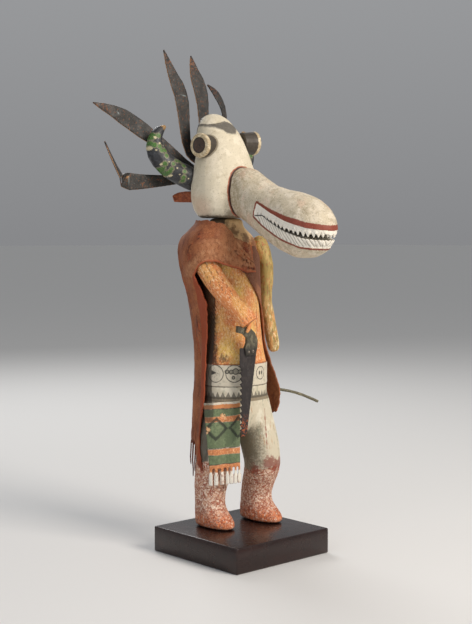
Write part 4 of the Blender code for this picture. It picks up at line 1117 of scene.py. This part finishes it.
# %% Saw blade
blade = take("saw_blade", "saw_plate")
rebuild(blade, 0.46)
soften(blade, 1)
spots = places(blade)
carve(blade, 0.06 * lumps(spots, 8, 71))
keep(blade, "point", spots[:, 2] - 112)
keep(blade, "rim", 1.9 - thickness(blade, 3))
saw_black = painted("blackened_saw_iron", "#221b1a", [
    # Dull dark iron, worn grey in streaks, and orange with rust at its tip
    coat("#39302d", size=5, stretch=(1, 1, 2), cover=(0.48, 0.64), strength=0.7),
    coat("#4e4a49", size=1.6, stretch=(1, 1, 3), cover=(0.62, 0.68), strength=0.5),
    coat("#a9562a", field="point", soft=9, size=1.9, cover=(0.51, 0.6), strength=0.9),
    coat("#0e0b0a", field="rim", soft=0.6, size=3, ragged=0.3, strength=0.6)],
    roughness=(0.42, 0.6), reliefs=((1.2, 0.06, (1, 1, 2)),))
dress(blade, saw_black)

# %% Saw grip
grip = take("saw_handle", "saw_grip")
rebuild(grip, 0.46)
soften(grip, 4)
spots = places(grip)
carve(grip, 0.12 * lumps(spots, 4, 72) + 0.05 * lumps(spots, 1.6, 73))
keep(grip, "tongue", spots[:, 2] - 184)
grip_wood = painted("stained_grip_wood", "#4c4636", [
    # Dark stained wood with a soft gloss, paler along its grain where it has been rubbed
    coat("#746e58", size=3.5, stretch=(1, 1, 2.5), cover=(0.48, 0.62), strength=0.75),
    coat("#2a271d", size=2.2, cover=(0.56, 0.66), strength=0.7),
    coat("#8b8465", size=1.2, cover=(0.64, 0.7), strength=0.6),
    coat("#211c17", field="tongue", soft=3, size=2, ragged=2, strength=0.8)],
    roughness=(0.4, 0.6), reliefs=((1.0, 0.08, (1, 1, 3)),))
dress(grip, grip_wood)

# %% Saw rivets
GRIP_PLACE = (-16.4, -38.5, 183.0)
SAW_FACING = -22.8
RIVET_RADIUS = 1.55
RIVET_FLATNESS = 0.55
RIVET_FORE = -3.4
RIVETS = ((-0.6, -4.0), (3.6, -3.2))
facing_turn = Matrix.Rotation(math.radians(SAW_FACING), 4, "Z")
grip_frame = Matrix.Translation(at(*GRIP_PLACE)) @ facing_turn
flatten = Matrix.Diagonal((1.0, RIVET_FLATNESS, 1.0, 1.0))
bm = bmesh.new()
for across, up in RIVETS:
    made = bmesh.ops.create_uvsphere(bm, u_segments=20, v_segments=10,
                                     radius=RIVET_RADIUS / 1000)
    stand = Matrix.Translation((across / 1000, RIVET_FORE / 1000, up / 1000))
    bmesh.ops.transform(bm, verts=made["verts"], matrix=grip_frame @ stand @ flatten)
rivet_mesh = bpy.data.meshes.new("saw_rivets")
bm.to_mesh(rivet_mesh)
bm.free()
rivet_mesh.shade_smooth()
rivets = bpy.data.objects.new("saw_rivets", rivet_mesh)
scene.collection.objects.link(rivets)
rivet_iron = painted("polished_rivet_iron", "#7d756b", [
    # Bare iron worn smooth, so that it mirrors the lamps in small bright spots
    coat("#3a3029", size=1.0, cover=(0.5, 0.66), strength=0.7)],
    roughness=(0.22, 0.4), reliefs=((0.6, 0.02, (1, 1, 1)),))
rivet_iron.node_tree.nodes["Principled BSDF"].inputs["Metallic"].default_value = 1.0
dress(rivets, rivet_iron)

# %% [markdown]
# ## Sash
# The sash is a thin board on the right hip, painted in bands of green and orange on white
# with dark diamonds, and its lower end is sawn into strands. Strips of faces, each with its
# own colour, would look printed. The bands follow the board's own height instead, and the
# diamonds its way round the hip, so both are kept as numbers and their edges can wander.

# %% Sash: the board
sash = take("sash", "sash_board")
rebuild(sash, 0.56)
soften(sash, 12)
spots = places(sash)
turn = turn_of(spots, (0.0, 0.0))
# The sash runs round the hip from its front edge, where its bands stand a little higher
FRONT_EDGE_TURN = 329
SASH_TURNS = 55
SASH_RISE = 2.5
DIAMOND_TURN = 291
SASH_RADIUS = 44
share = (FRONT_EDGE_TURN - turn) / SASH_TURNS
high = spots[:, 2] - SASH_RISE * (1 - np.clip(share, 0, 1))
arc = np.radians(turn - DIAMOND_TURN) * SASH_RADIUS
step = np.zeros(len(spots))
for edge in (120.4, 113.2, 107.4, 81.6, 80.4, 74.8, 65.2):
    step = np.maximum(step, ease(-np.abs(high - edge), -0.8, 0))
# The strands stand close together, so their sides are moved out to leave thin slits
angle = np.radians(turn)
round_way = np.column_stack((np.cos(angle), np.sin(angle), np.zeros(len(spots))))
sideways = np.einsum("ij,ij->i", directions(sash), round_way) ** 2
widen = 0.95 * sideways * ease(57.5 - spots[:, 2], 0, 2)
carve(sash, 0.14 * lumps(spots, 6, 81) + 0.07 * lumps(spots, 2, 82) - 0.12 * step + widen)
print("sash carved:", len(spots), "vertices")

# %% Sash: bands and diamonds
high = high + 0.7 * lumps(spots, 9, 83)
# Each band of a colour, as the height of its middle and half its width
BANDS = {"top": [(122.7, 2.2)],
         "green": [(116.8, 3.5), (94.5, 12.9), (70, 4.7)],
         "orange": [(110.4, 2.9), (77.6, 2.9), (61.2, 4.0)],
         "line": [(120.4, 0), (81.2, 0), (65.3, 0)]}
for name, bands in BANDS.items():
    keep(sash, name, np.minimum.reduce([np.abs(high - middle) - half for middle, half in bands]))
DIAMOND_HIGH = 101.0
DIAMOND_HALF_WIDE = 10.5
DIAMOND_HALF_TALL = 10
DIAMONDS_APART = 25.6
# How far a diamond's sides are from its middle, which turns shares into millimetres
DIAMOND_SIDE = 7.2
rise = np.abs(high - DIAMOND_HIGH) / DIAMOND_HALF_TALL
first = np.abs(arc) / DIAMOND_HALF_WIDE + rise - 1
second = np.abs(arc - DIAMONDS_APART) / DIAMOND_HALF_WIDE + rise - 1
keep(sash, "diamonds", DIAMOND_SIDE * np.minimum(np.abs(first), np.abs(second)))
keep(sash, "inner", DIAMOND_SIDE * np.minimum(first, second))
keep(sash, "chips", from_patches(spots, [(-31.4, -17.7, 114.6, 2.0), (-43.4, -8.5, 100.9, 2.2),
                                         (-30.0, -19.0, 112.0, 1.4), (-43.6, -7.0, 97.5, 1.4),
                                         (-22.5, -24.0, 80, 1.2), (-37, -14, 79, 1.2)]))
keep(sash, "strands", high - 57.6)
keep(sash, "rim", 2.6 - thickness(sash, 4.5))
keep(sash, "shaded", np.maximum((turn - 287.5) * 0.75, 108 - high))
print("bands and lines kept:", sum(len(bands) for bands in BANDS.values()))

# %% Sash: the paint
sash_paint = painted("banded_sash_paint", "#d3cab7", [
    # Matt earth colours laid on by brush, with the orange ground showing in the chips
    coat("#b7a98d", size=4, cover=(0.48, 0.64), strength=0.7),
    coat("#c3773a", field="top", soft=0.4, size=2.2, ragged=0.6, strength=0.92),
    coat("#c27440", field="orange", soft=0.4, size=2.2, ragged=0.5, strength=0.95),
    coat("#e2a873", field="orange", size=1.6, cover=(0.52, 0.62), strength=0.65),
    coat("#7f4a26", field="orange", size=1.3, cover=(0.6, 0.68), strength=0.6),
    coat("#5b6a49", field="green", soft=0.3, size=2.0, ragged=0.35, strength=0.97),
    coat("#73835e", field="green", size=4, cover=(0.48, 0.62), strength=0.6),
    coat("#434e37", field="green", size=2, cover=(0.58, 0.68), strength=0.6),
    coat("#7a8763", field="inner", edge=-2.6, soft=1.0, size=2.5, cover=(0.4, 0.6),
         strength=0.6),
    coat("#2b2f24", field="diamonds", edge=1.4, soft=0.7, size=1.6, ragged=0.7, strength=0.88),
    coat("#2c2a20", field="line", edge=0.45, soft=0.3, size=4, ragged=0.45, strength=0.8),
    coat("#e9b987", field="chips", soft=0.5, size=1.6, ragged=1.7, strength=0.9),
    coat("#c8602c", field="chips", edge=0.8, soft=0.5, size=1.3, cover=(0.55, 0.65),
         strength=0.8),
    coat("#e8e2d4", field="strands", soft=0.6, size=2, ragged=0.8, strength=0.95),
    coat("#a45a2c", field="strands", size=1.4, stretch=(1, 1, 4), cover=(0.58, 0.66),
         strength=0.7),
    coat("#8f4f2a", field="rim", soft=0.7, size=2, ragged=0.7, strength=0.8),
    coat("#2d2a22", field="shaded", soft=1.2, size=5, ragged=1.0, strength=0.62)],
    roughness=(0.6, 0.8), reliefs=((1.0, 0.10, (1, 1, 1)), (3.0, 0.12, (1, 1, 1))))
dress(sash, sash_paint)

# %% [markdown]
# ## Stick
# A peeled twig is pegged at the left hip. It has low knots along it and a dull grey skin. It
# could be a bevelled curve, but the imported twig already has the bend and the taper, so its
# copy is softened and gets small lumps.

# %% Stick
stick = take("stick", "peeled_stick")
rebuild(stick, 0.5)
soften(stick, 10)
spots = places(stick)
carve(stick, 0.16 * lumps(spots, 5, 91) + 0.08 * lumps(spots, 1.5, 92))
twig = painted("peeled_twig_wood", "#5f5a44", [
    # Weathered wood, grey in drawn-out streaks and dark where bark is left
    coat("#8d8668", size=2, stretch=(3, 1, 1), cover=(0.5, 0.64), strength=0.7),
    coat("#332d20", size=1.6, cover=(0.54, 0.66), strength=0.8)],
    roughness=(0.45, 0.65), reliefs=((0.8, 0.08, (3, 1, 1)),))
dress(stick, twig)

# %% [markdown]
# ## Hide wrap
# The wrap is one piece of real tanned hide, cut and bent round the doll: over the chest,
# round the back, over the right shoulder and arm, and back over itself in a torn flap. Its
# back hangs to the knees. Cloth simulation would lose its set creases, so the sheet is a
# flat grid, bent to the imported hide's own surface, with its folds pushed in.
# Solidify then gives it the thickness of hide. Each edge of the cut is drawn as heights at
# turns, or as turns and heights at shares of the way.

# %% Hide wrap: the cut, as turns round the doll and heights
FRONT_COLUMNS = 44
BACK_COLUMNS = 170
FLAP_COLUMNS = 72
TOP_ROWS = 46
SKIRT_ROWS = 136
CHEST_TURN = -30.0
LEFT_TURN = 45.0
RIGHT_TURN = 272.0
FLAP_TURN = 374.0
TOP_EDGE = ([-30, 8, 45, 62, 75, 90, 105, 120, 150, 180, 215, 272, 300, 326, 339, 352, 370, 374],
            [291, 286.6, 281.4, 272, 266, 263, 266, 274, 292, 304, 308.5, 309, 306, 292, 284.6,
             277.6, 270, 264])
ARM_LINE = ([-30, -4, 5, 16, 30, 45, 90, 180, 272, 280, 287, 298, 305, 318, 335, 353, 374],
            [262, 254.6, 248.5, 242.3, 235, 225, 214, 230, 254, 264, 268, 268, 265, 262, 260,
             256.7, 257])
SKIRT_LEFT = ([0, 0.15, 0.4, 0.75, 1], [45, 60, 70, 74, 78])
SKIRT_RIGHT = ([0, 0.15, 0.25, 0.5, 0.64, 0.72, 0.82, 0.9, 1],
               [272, 283, 279, 277.5, 275.5, 272, 267.5, 270, 278])
HEM = ([0, 0.12, 0.3, 0.7, 0.85, 0.92, 0.95, 1], [110, 100, 88, 86, 84, 81, 64, 60])
HIDE_THICK = 0.0014

columns = FRONT_COLUMNS + BACK_COLUMNS + FLAP_COLUMNS
rows = TOP_ROWS + SKIRT_ROWS
bm = bmesh.new()
bmesh.ops.create_grid(bm, x_segments=columns, y_segments=rows, size=1.0)
cells = {}
for vertex in bm.verts:
    cells[vertex] = (round((vertex.co.x + 1) / 2 * columns), round((1 - vertex.co.y) / 2 * rows))


def outside_cut(face):
    """Whether a face of the flat grid lies beside the skirt, where the hide is cut away."""
    column = sum(cells[v][0] for v in face.verts) / 4
    row = sum(cells[v][1] for v in face.verts) / 4
    return row > TOP_ROWS and not FRONT_COLUMNS < column < FRONT_COLUMNS + BACK_COLUMNS


bmesh.ops.delete(bm, geom=[f for f in bm.faces if outside_cut(f)], context="FACES")
loose = [v for v in bm.verts if not v.link_faces]
bmesh.ops.delete(bm, geom=loose, context="VERTS")
print("hide grid:", len(bm.faces), "faces")

# %% [markdown]
# Each point of the grid gets a turn round the doll and a height between the edges of the
# cut. Smooth chance then makes those edges ragged, as torn and trimmed hide is.

# %% Hide wrap: a turn and a height for each point
bm.verts.ensure_lookup_table()
grid_x = np.array([cells[v][0] for v in bm.verts])
grid_y = np.array([cells[v][1] for v in bm.verts])
turn_top = np.interp(grid_x, [0, FRONT_COLUMNS, FRONT_COLUMNS + BACK_COLUMNS, columns],
                     [CHEST_TURN, LEFT_TURN, RIGHT_TURN, FLAP_TURN])
down = np.clip((grid_y - TOP_ROWS) / SKIRT_ROWS, 0, 1)
share = (grid_x - FRONT_COLUMNS) / BACK_COLUMNS
top = np.interp(turn_top, *TOP_EDGE)
arm_line = np.interp(turn_top, *ARM_LINE)
hem = np.interp(share, *HEM)
left_edge = np.interp(down, *SKIRT_LEFT)
right_edge = np.interp(down, *SKIRT_RIGHT)
hide_turn = np.where(down > 0, left_edge + (right_edge - left_edge) * share, turn_top)
hide_high = np.where(down > 0, arm_line + (hem - arm_line) * down,
                     top + (arm_line - top) * np.minimum(grid_y, TOP_ROWS) / TOP_ROWS)
# Ragged edges: the flap's end, the neck edge, the skirt's sides and its hem. A degree of turn
# is about so many millimetres there, which lets the chance spread evenly.
EDGE_SPREAD = 0.7
flat_spot = np.column_stack((hide_turn * EDGE_SPREAD, hide_high, np.zeros(len(hide_turn))))
tear = lumps(flat_spot, 7, 101) + 0.7 * lumps(flat_spot, 2.6, 102)
at_flap_end = ease(grid_x / columns, 0.955, 1.0) * (down == 0)
hide_turn = hide_turn + at_flap_end * (3.4 * tear - 0.5)
hem_share = ease(down, 0.9, 1.0)
hide_high = hide_high + hem_share * (5.0 * lumps(flat_spot * (1, 0, 0), 6, 103)
                                     + 3.0 * lumps(flat_spot * (1, 0, 0), 2.4, 104))
hide_high = hide_high + (down == 0) * (1 - ease(grid_y / TOP_ROWS, 0.0, 0.12)) * 1.1 * tear
side_share = np.abs(share - 0.5) * 2
hide_turn = hide_turn + (down > 0.02) * ease(side_share, 0.96, 1.0) * 1.2 * tear
print("hide turns from", round(hide_turn.min()), "to", round(hide_turn.max()), "degrees")

# %% [markdown]
# A ray from the doll's middle line, or from outside towards it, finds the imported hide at
# each point's turn and height. The point takes its distance, but stays clear of the body
# and the arm below.

# %% Hide wrap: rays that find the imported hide
def surface_tree(nodes):
    """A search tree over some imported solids, for finding where a ray meets them."""
    bm_all = bmesh.new()
    for name in nodes:
        bm_all.from_mesh(frame["nodes"][name].data)
    tree = BVHTree.FromBMesh(bm_all)
    bm_all.free()
    return tree


# Well outside the hide, in metres from its axis
FAR_OUT = 0.2


def reach_of(tree, turn, high, outward):
    """How far a solid reaches from the hide's axis: its outer face, or its first inner one."""
    turned = math.radians(turn)
    way = Vector((math.sin(turned), -math.cos(turned), 0.0))
    axis = at(*AXIS, high)
    if outward:
        hit = tree.ray_cast(axis, way, FAR_OUT)
    else:
        hit = tree.ray_cast(axis + way * FAR_OUT, -way, FAR_OUT)
    if hit[0] is None:
        return float("nan")
    return 1000 * (hit[3] if outward else FAR_OUT - hit[3])


hide_tree = surface_tree(["cape"])
body_tree = surface_tree(["body"])
arm_tree = surface_tree(["body", "arm_right"])
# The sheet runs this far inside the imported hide's face and this far off what it lies on
WITHIN_FACE = 0.8
OFF_CARRIER = 1.1
# On the right side the hide lies over the arm above this height
ARM_LOWEST = 225
reach = np.full((columns + 1, rows + 1), np.nan)
least = np.zeros((columns + 1, rows + 1))
for x, y, turn, high in zip(grid_x, grid_y, hide_turn, hide_high):
    under = x < FRONT_COLUMNS
    found = reach_of(hide_tree, turn, high, under)
    reach[x, y] = found + (WITHIN_FACE if under else -WITHIN_FACE)
    carrier = arm_tree if turn > 180 and high > ARM_LOWEST else body_tree
    below = reach_of(carrier, turn, high, False)
    least[x, y] = 0 if math.isnan(below) else below + OFF_CARRIER
known = np.zeros(reach.shape, bool)
known[grid_x, grid_y] = True
print("points that met no hide:", int(np.isnan(reach[known]).sum()))

# %% [markdown]
# Points that met no hide take the mean of their neighbours. All are then smoothed, which
# turns the solid's facets into one soft sheet.

# %% Hide wrap: gaps filled and facets smoothed
def neighbours_mean(values, valid):
    """The mean of each cell's valid neighbours, and whether it has any."""
    total = np.zeros(values.shape)
    count = np.zeros(values.shape)
    filled = np.where(valid, values, 0.0)
    for axis in (0, 1):
        for step in (-1, 1):
            shifted = np.roll(filled, step, axis)
            seen = np.roll(valid, step, axis).astype(float)
            edge = [slice(None), slice(None)]
            edge[axis] = 0 if step == 1 else -1
            shifted[tuple(edge)] = 0.0
            seen[tuple(edge)] = 0.0
            total += shifted
            count += seen
    return total / np.maximum(count, 1), count > 0


PASSES = 60
for _ in range(PASSES):
    missing = np.isnan(reach) & known
    if not missing.any():
        break
    mean, seen = neighbours_mean(reach, ~np.isnan(reach) & known)
    reach = np.where(missing & seen, mean, reach)
for _ in range(PASSES):
    mean, seen = neighbours_mean(reach, known)
    reach = np.where(known, 0.5 * reach + 0.5 * np.where(seen, mean, reach), reach)
hide_reach = reach[grid_x, grid_y]
nearest_out = round(float(hide_reach.min()), 1)
furthest_out = round(float(hide_reach.max()), 1)
print("hide stands", nearest_out, "to", furthest_out, "mm out")

# %% [markdown]
# Folds are pressed in or lifted along drawn lines, and smooth chance makes the hide uneven.
# The flap stands a little off the hide below it.

# %% Hide wrap: folds and creases
# Each fold is a line of (turn, height), how wide it is, and how far it is lifted or pressed in
FOLDS = [([(232, 292), (243, 262), (250, 232), (252, 214)], 3.0, 1.6),
         ([(252, 222), (249, 205), (256, 188), (262, 172)], 2.6, -1.1),
         ([(262, 214), (262, 206), (264, 198)], 2.0, 1.1),
         ([(215, 300), (205, 240), (200, 150), (196, 95)], 9.0, 1.8),
         ([(180, 300), (172, 230), (165, 150), (160, 95)], 10.0, -1.6),
         ([(140, 280), (135, 220), (130, 150), (128, 100)], 9.0, 1.8),
         ([(110, 262), (105, 200), (100, 140), (98, 110)], 7.0, -1.3),
         ([(268, 235), (266, 190), (262, 140), (258, 95)], 5.0, -0.9),
         ([(292, 300), (310, 292), (330, 281)], 2.4, 0.7),
         ([(285, 292), (305, 284), (325, 277)], 1.8, -0.5),
         ([(338, 276), (346, 268), (350, 261)], 1.6, 0.6)]
# A fold that is narrower than this is a crease, and its line is drawn darker
CREASE_WIDE = 4
FOLD_SPREAD = 0.72
spread = np.column_stack((hide_turn * FOLD_SPREAD, hide_high))
press = np.zeros(len(hide_turn))
crease = np.full(len(hide_turn), 1e9)
for path, wide, lift in FOLDS:
    gap = from_line(spread, [(turn * FOLD_SPREAD, high) for turn, high in path])
    press += lift * np.exp(-(gap / wide) ** 2)
    if wide < CREASE_WIDE:
        crease = np.minimum(crease, gap)
upright = np.column_stack((hide_turn * FOLD_SPREAD, hide_high / 3.2,
                           np.zeros(len(hide_turn))))
press += 0.9 * lumps(upright, 12, 105) * ease(down, 0.0, 0.4)
press += 0.35 * lumps(flat_spot, 9, 106) + 0.16 * lumps(flat_spot, 3.5, 107)
curl_up = ease(grid_x / columns, 0.975, 1.0) * (down == 0)
press += 0.9 * curl_up + 0.5 * ease(side_share, 0.95, 1.0) * (down > 0)
# From this turn on the flap lies over the rest of the hide
FLAP_FROM = 326
flap_on = ((hide_turn > FLAP_FROM) & (down == 0)).astype(float)
flap_rim = flap_on * np.maximum(ease(grid_x / columns, 0.93, 1.0),
                                ease(grid_y / TOP_ROWS, 0.86, 1.0))
# How much further the flap stands off the body, to clear the hide below it
FLAP_LIFT = 1.8
final_reach = np.maximum(hide_reach + press + 0.5 * flap_on + 0.9 * flap_rim,
                         least[grid_x, grid_y] + 0.2 + FLAP_LIFT * flap_on)
angle = np.radians(hide_turn)
for index, vertex in enumerate(bm.verts):
    out = float(final_reach[index])
    vertex.co = at(AXIS[0] + math.sin(angle[index]) * out,
                   AXIS[1] - math.cos(angle[index]) * out, float(hide_high[index]))
print("folds and creases:", len(FOLDS))

# %% Hide wrap: holes
# Each hole is a turn, a height and a radius, and the faces within it are deleted
HOLE_SPREAD = 0.66
HOLES = [(347, 274.5, 1.2), (351, 268.5, 1.6), (343, 269, 1.0), (356, 262, 1.4), (362, 266, 1.0),
         (340, 263.5, 1.0), (366, 260, 1.3), (270, 96, 1.6), (273, 118, 1.1)]
holed = []
for face in bm.faces:
    middle = face.calc_center_median()
    index = face.verts[0].index
    for turn, high, radius in HOLES:
        gap = math.hypot((hide_turn[index] - turn) * HOLE_SPREAD, hide_high[index] - high)
        if gap < radius * (1 + 0.35 * noise.noise(middle * 900)) and grid_x[index] > FRONT_COLUMNS:
            holed.append(face)
            break
bmesh.ops.delete(bm, geom=holed, context="FACES")
bmesh.ops.delete(bm, geom=[v for v in bm.verts if not v.link_faces], context="VERTS")
print("holes take", len(holed), "cells")

# %% [markdown]
# The turn, height and column of each point are kept at its vertex before Solidify doubles
# the sheet, so that the leather's stains and edges can be placed by them afterwards.

# %% Hide wrap: thickness
kept_turn = bm.verts.layers.float.new("turn")
kept_high = bm.verts.layers.float.new("high")
kept_crease = bm.verts.layers.float.new("crease")
kept_column = bm.verts.layers.float.new("column")
for vertex in bm.verts:
    index = vertex.index
    vertex[kept_turn] = hide_turn[index]
    vertex[kept_high] = hide_high[index]
    vertex[kept_crease] = crease[index]
    vertex[kept_column] = grid_x[index]
bmesh.ops.recalc_face_normals(bm, faces=bm.faces)
hide_mesh = bpy.data.meshes.new("hide_wrap")
bm.to_mesh(hide_mesh)
bm.free()
hide = bpy.data.objects.new("hide_wrap", hide_mesh)
scene.collection.objects.link(hide)
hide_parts("cape")
wall = hide.modifiers.new("wall", "SOLIDIFY")
wall.thickness = HIDE_THICK
wall.offset = 0.0
wall.use_rim = True
settle(hide)
hide.data.shade_smooth()
keep(hide, "edge", 2.4 - thickness(hide, 4.0))
print("hide wall", HIDE_THICK * 1000, "mm,", len(hide.data.vertices), "vertices")

# %% Hide wrap: where the leather is torn, stained and worn
def read(piece, name):
    """The numbers kept at a piece's vertices under a name."""
    values = np.empty(len(piece.data.vertices), np.float32)
    piece.data.attributes[name].data.foreach_get("value", values)
    return values


turn = read(hide, "turn")
high = read(hide, "high")
column = read(hide, "column")
# The flap's torn and stained corner, and how wide a degree and a column are there
STAIN_TURN = 350
STAIN_HIGH = 267
STAIN_RADIUS = 9
STAIN_SPREAD = 0.62
COLUMN_WIDE = 0.87
stain = np.hypot((turn - STAIN_TURN) * STAIN_SPREAD, high - STAIN_HIGH) - STAIN_RADIUS
keep(hide, "torn", np.where(column > FRONT_COLUMNS, stain, 40))
keep(hide, "flap", np.where((turn > 225) & (high > 252), 255 - turn, 30))
keep(hide, "under", column - FRONT_COLUMNS)
# How far a place is from the torn end of the flap and from its lower edge
to_end = (columns - column) * COLUMN_WIDE
to_foot = high - np.interp(turn, *ARM_LINE)
on_flap = (column > FRONT_COLUMNS) & (turn > 268)
keep(hide, "flap_edge_and_shadow", np.where(on_flap, np.minimum(to_end, to_foot), 30))
keep(hide, "under_shadow", np.where(column < FRONT_COLUMNS, (turn - 14) * STAIN_SPREAD - 7, 30))
keep(hide, "hem", high - np.interp(turn, [75, 200, 255, 265, 280], [110, 92, 80, 60, 75]))
print("vertices in the stained corner:", int(((column > FRONT_COLUMNS) & (stain < 0)).sum()))

# %% Hide wrap: the leather
hide_leather = painted("tanned_hide", "#8b4e2d", [
    # Suede: large soft stains, a fine nap, dark creases and raw reddish edges
    coat("#a2633b", size=18, cover=(0.42, 0.62), strength=0.8),
    coat("#6b3319", size=12, stretch=(1, 1, 2.4), cover=(0.5, 0.68), strength=0.7),
    coat("#a9714a", field="flap", soft=12, size=7, cover=(0.3, 0.5), strength=0.9),
    coat("#bd8a62", field="flap", soft=12, size=6, cover=(0.5, 0.64), strength=0.6),
    coat("#7d4a2f", field="flap", soft=8, size=2.2, stretch=(1, 1, 2.2), cover=(0.54, 0.66),
         strength=0.6),
    coat("#8e5f42", field="under", soft=3, strength=0.8),
    coat("#5b3422", field="under_shadow", soft=4, strength=0.75),
    coat("#c08d66", size=0.9, cover=(0.58, 0.68), strength=0.5),
    coat("#4b2110", size=1.1, cover=(0.59, 0.69), strength=0.5),
    coat("#5c2a14", size=5, veins=True, cover=(0.975, 0.995), strength=0.5),
    # A thin dark painted shadow along the flap's torn end and lower edge, then its raw red edge
    coat("#2c130a", field="flap_edge_and_shadow", edge=0.5, soft=0.8, size=3, ragged=0.5, strength=0.85),
    coat("#b4512a", field="flap_edge_and_shadow", edge=2.0, soft=0.8, size=3, ragged=0.9, strength=0.55),
    coat("#7c3017", field="torn", edge=-1, soft=3, size=3, ragged=4, strength=0.8),
    coat("#3a150c", field="torn", edge=-2, soft=3, size=1.7, cover=(0.48, 0.6), strength=0.85),
    coat("#c26a3e", field="torn", size=1.5, cover=(0.6, 0.68), strength=0.7),
    coat("#4a1c0d", field="crease", edge=0.6, soft=0.9, size=4, ragged=0.9, strength=0.8),
    coat("#b0562f", field="crease", edge=2.0, soft=1.0, size=5, cover=(0.5, 0.6), strength=0.5),
    coat("#b5532a", field="edge", soft=0.5, size=2, ragged=0.8, strength=0.6),
    coat("#56210f", field="hem", soft=4, size=4, ragged=4, strength=0.55)],
    roughness=(0.72, 0.9), reliefs=((0.9, 0.09, (1, 1, 1)), (2.6, 0.16, (1, 1, 1)),
                                    (8.0, 0.35, (1, 1, 2))))
dress(hide, hide_leather)

# %% [markdown]
# ## Thongs at the hide's hem
# Where the hem has torn on the right, it hangs in narrow thongs. Each thong starts as a small
# square that is extruded along its way and scaled to a point, as a strip of hide narrows.

# %% Thongs: a strip along a path
def strip(bm, path, widths, thick):
    """Extrude a thin strip of hide along a path, with a width in millimetres at each point."""
    spots = [at(*point) for point in path]
    made = bmesh.ops.create_grid(bm, x_segments=1, y_segments=1, size=0.5)
    verts = made["verts"]
    faces = list({face for vertex in verts for face in vertex.link_faces})
    corners = [(1, 1), (1, -1), (-1, -1), (-1, 1)]
    for index, spot in enumerate(spots):
        ahead = spots[min(index + 1, len(spots) - 1)] - spots[max(index - 1, 0)]
        out = Vector((spot.x - SOLES[0], spot.y - SOLES[1], 0.0)).normalized()
        side = ahead.cross(out).normalized()
        if index:
            grown = bmesh.ops.extrude_face_region(bm, geom=faces, use_keep_orig=index == 1)
            verts = [item for item in grown["geom"] if isinstance(item, bmesh.types.BMVert)]
            faces = [item for item in grown["geom"] if isinstance(item, bmesh.types.BMFace)]
        half = widths[index] / 2000
        deep = side.cross(ahead).normalized() * thick / 2000
        if index == 0:
            # The square lies round the origin, so its corners are sorted by their angle
            verts = sorted(verts, key=lambda v: math.atan2(v.co.y, v.co.x))
            order = dict(zip(verts, corners))
        else:
            # Each new vertex takes the corner of the last one that it grew from
            order = {v: min(last, key=lambda old: (old[0] - v.co).length)[1] for v in verts}
        last = []
        for vertex, (across, depth) in order.items():
            vertex.co = spot + side * half * across + deep * depth
            last.append((vertex.co.copy(), (across, depth)))


# %% Thongs: the four strips
# Each thong is its points from the hem down, and its width at each of them
THONGS = [
    ([(-41, 16.5, 88), (-41.8, 16, 78), (-42.8, 15.6, 68), (-42.4, 15, 58), (-43, 14.6, 50)],
     [4.6, 3.8, 3.0, 2.2, 0.7]),
    ([(-41.4, 12.6, 88), (-42, 12.2, 78), (-42.6, 12.4, 66), (-42.2, 12.8, 55)],
     [3.2, 2.6, 2.0, 0.7]),
    ([(-39, 22, 88), (-39.6, 21.8, 78), (-40.6, 21.4, 69), (-40.2, 21, 61)],
     [3.6, 3.2, 2.2, 0.7]),
    ([(-41.6, 9, 88), (-42.2, 8.6, 77), (-42, 8, 67), (-42.6, 7.6, 57)], [4.6, 3.8, 2.8, 0.8])]
THONG_THICK = 1.3
bm = bmesh.new()
for path, widths in THONGS:
    strip(bm, path, widths, THONG_THICK)
bmesh.ops.recalc_face_normals(bm, faces=bm.faces)
thong_mesh = bpy.data.meshes.new("hide_thongs")
bm.to_mesh(thong_mesh)
bm.free()
thongs = bpy.data.objects.new("hide_thongs", thong_mesh)
scene.collection.objects.link(thongs)
rounding = thongs.modifiers.new("round", "SUBSURF")
rounding.levels = 2
rounding.render_levels = 2
settle(thongs)
thong_leather = painted("dark_thong_hide", "#5e2815", [
    # Thin strips of the same hide, in a darker brown than the wrap
    coat("#8b4526", size=3, cover=(0.5, 0.64), strength=0.7),
    coat("#2c110a", size=2, cover=(0.56, 0.66), strength=0.7)],
    roughness=(0.7, 0.85), reliefs=((0.8, 0.10, (1, 1, 2)),))
dress(thongs, thong_leather)

# %% [markdown]
# ## Extent of the dressed doll
# Hide hardly stretches, so a flat cut of the wrap would be as long and as wide as the lines
# of the bent grid, and its area half of the closed mesh's surface, because a Solidify wall
# has an inner and an outer face. Here only the box round every piece that renders, leaving
# out the floor, is printed.


low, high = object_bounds()
print("dressed from", [round(c, 4) for c in low], "to", [round(c, 4) for c in high])
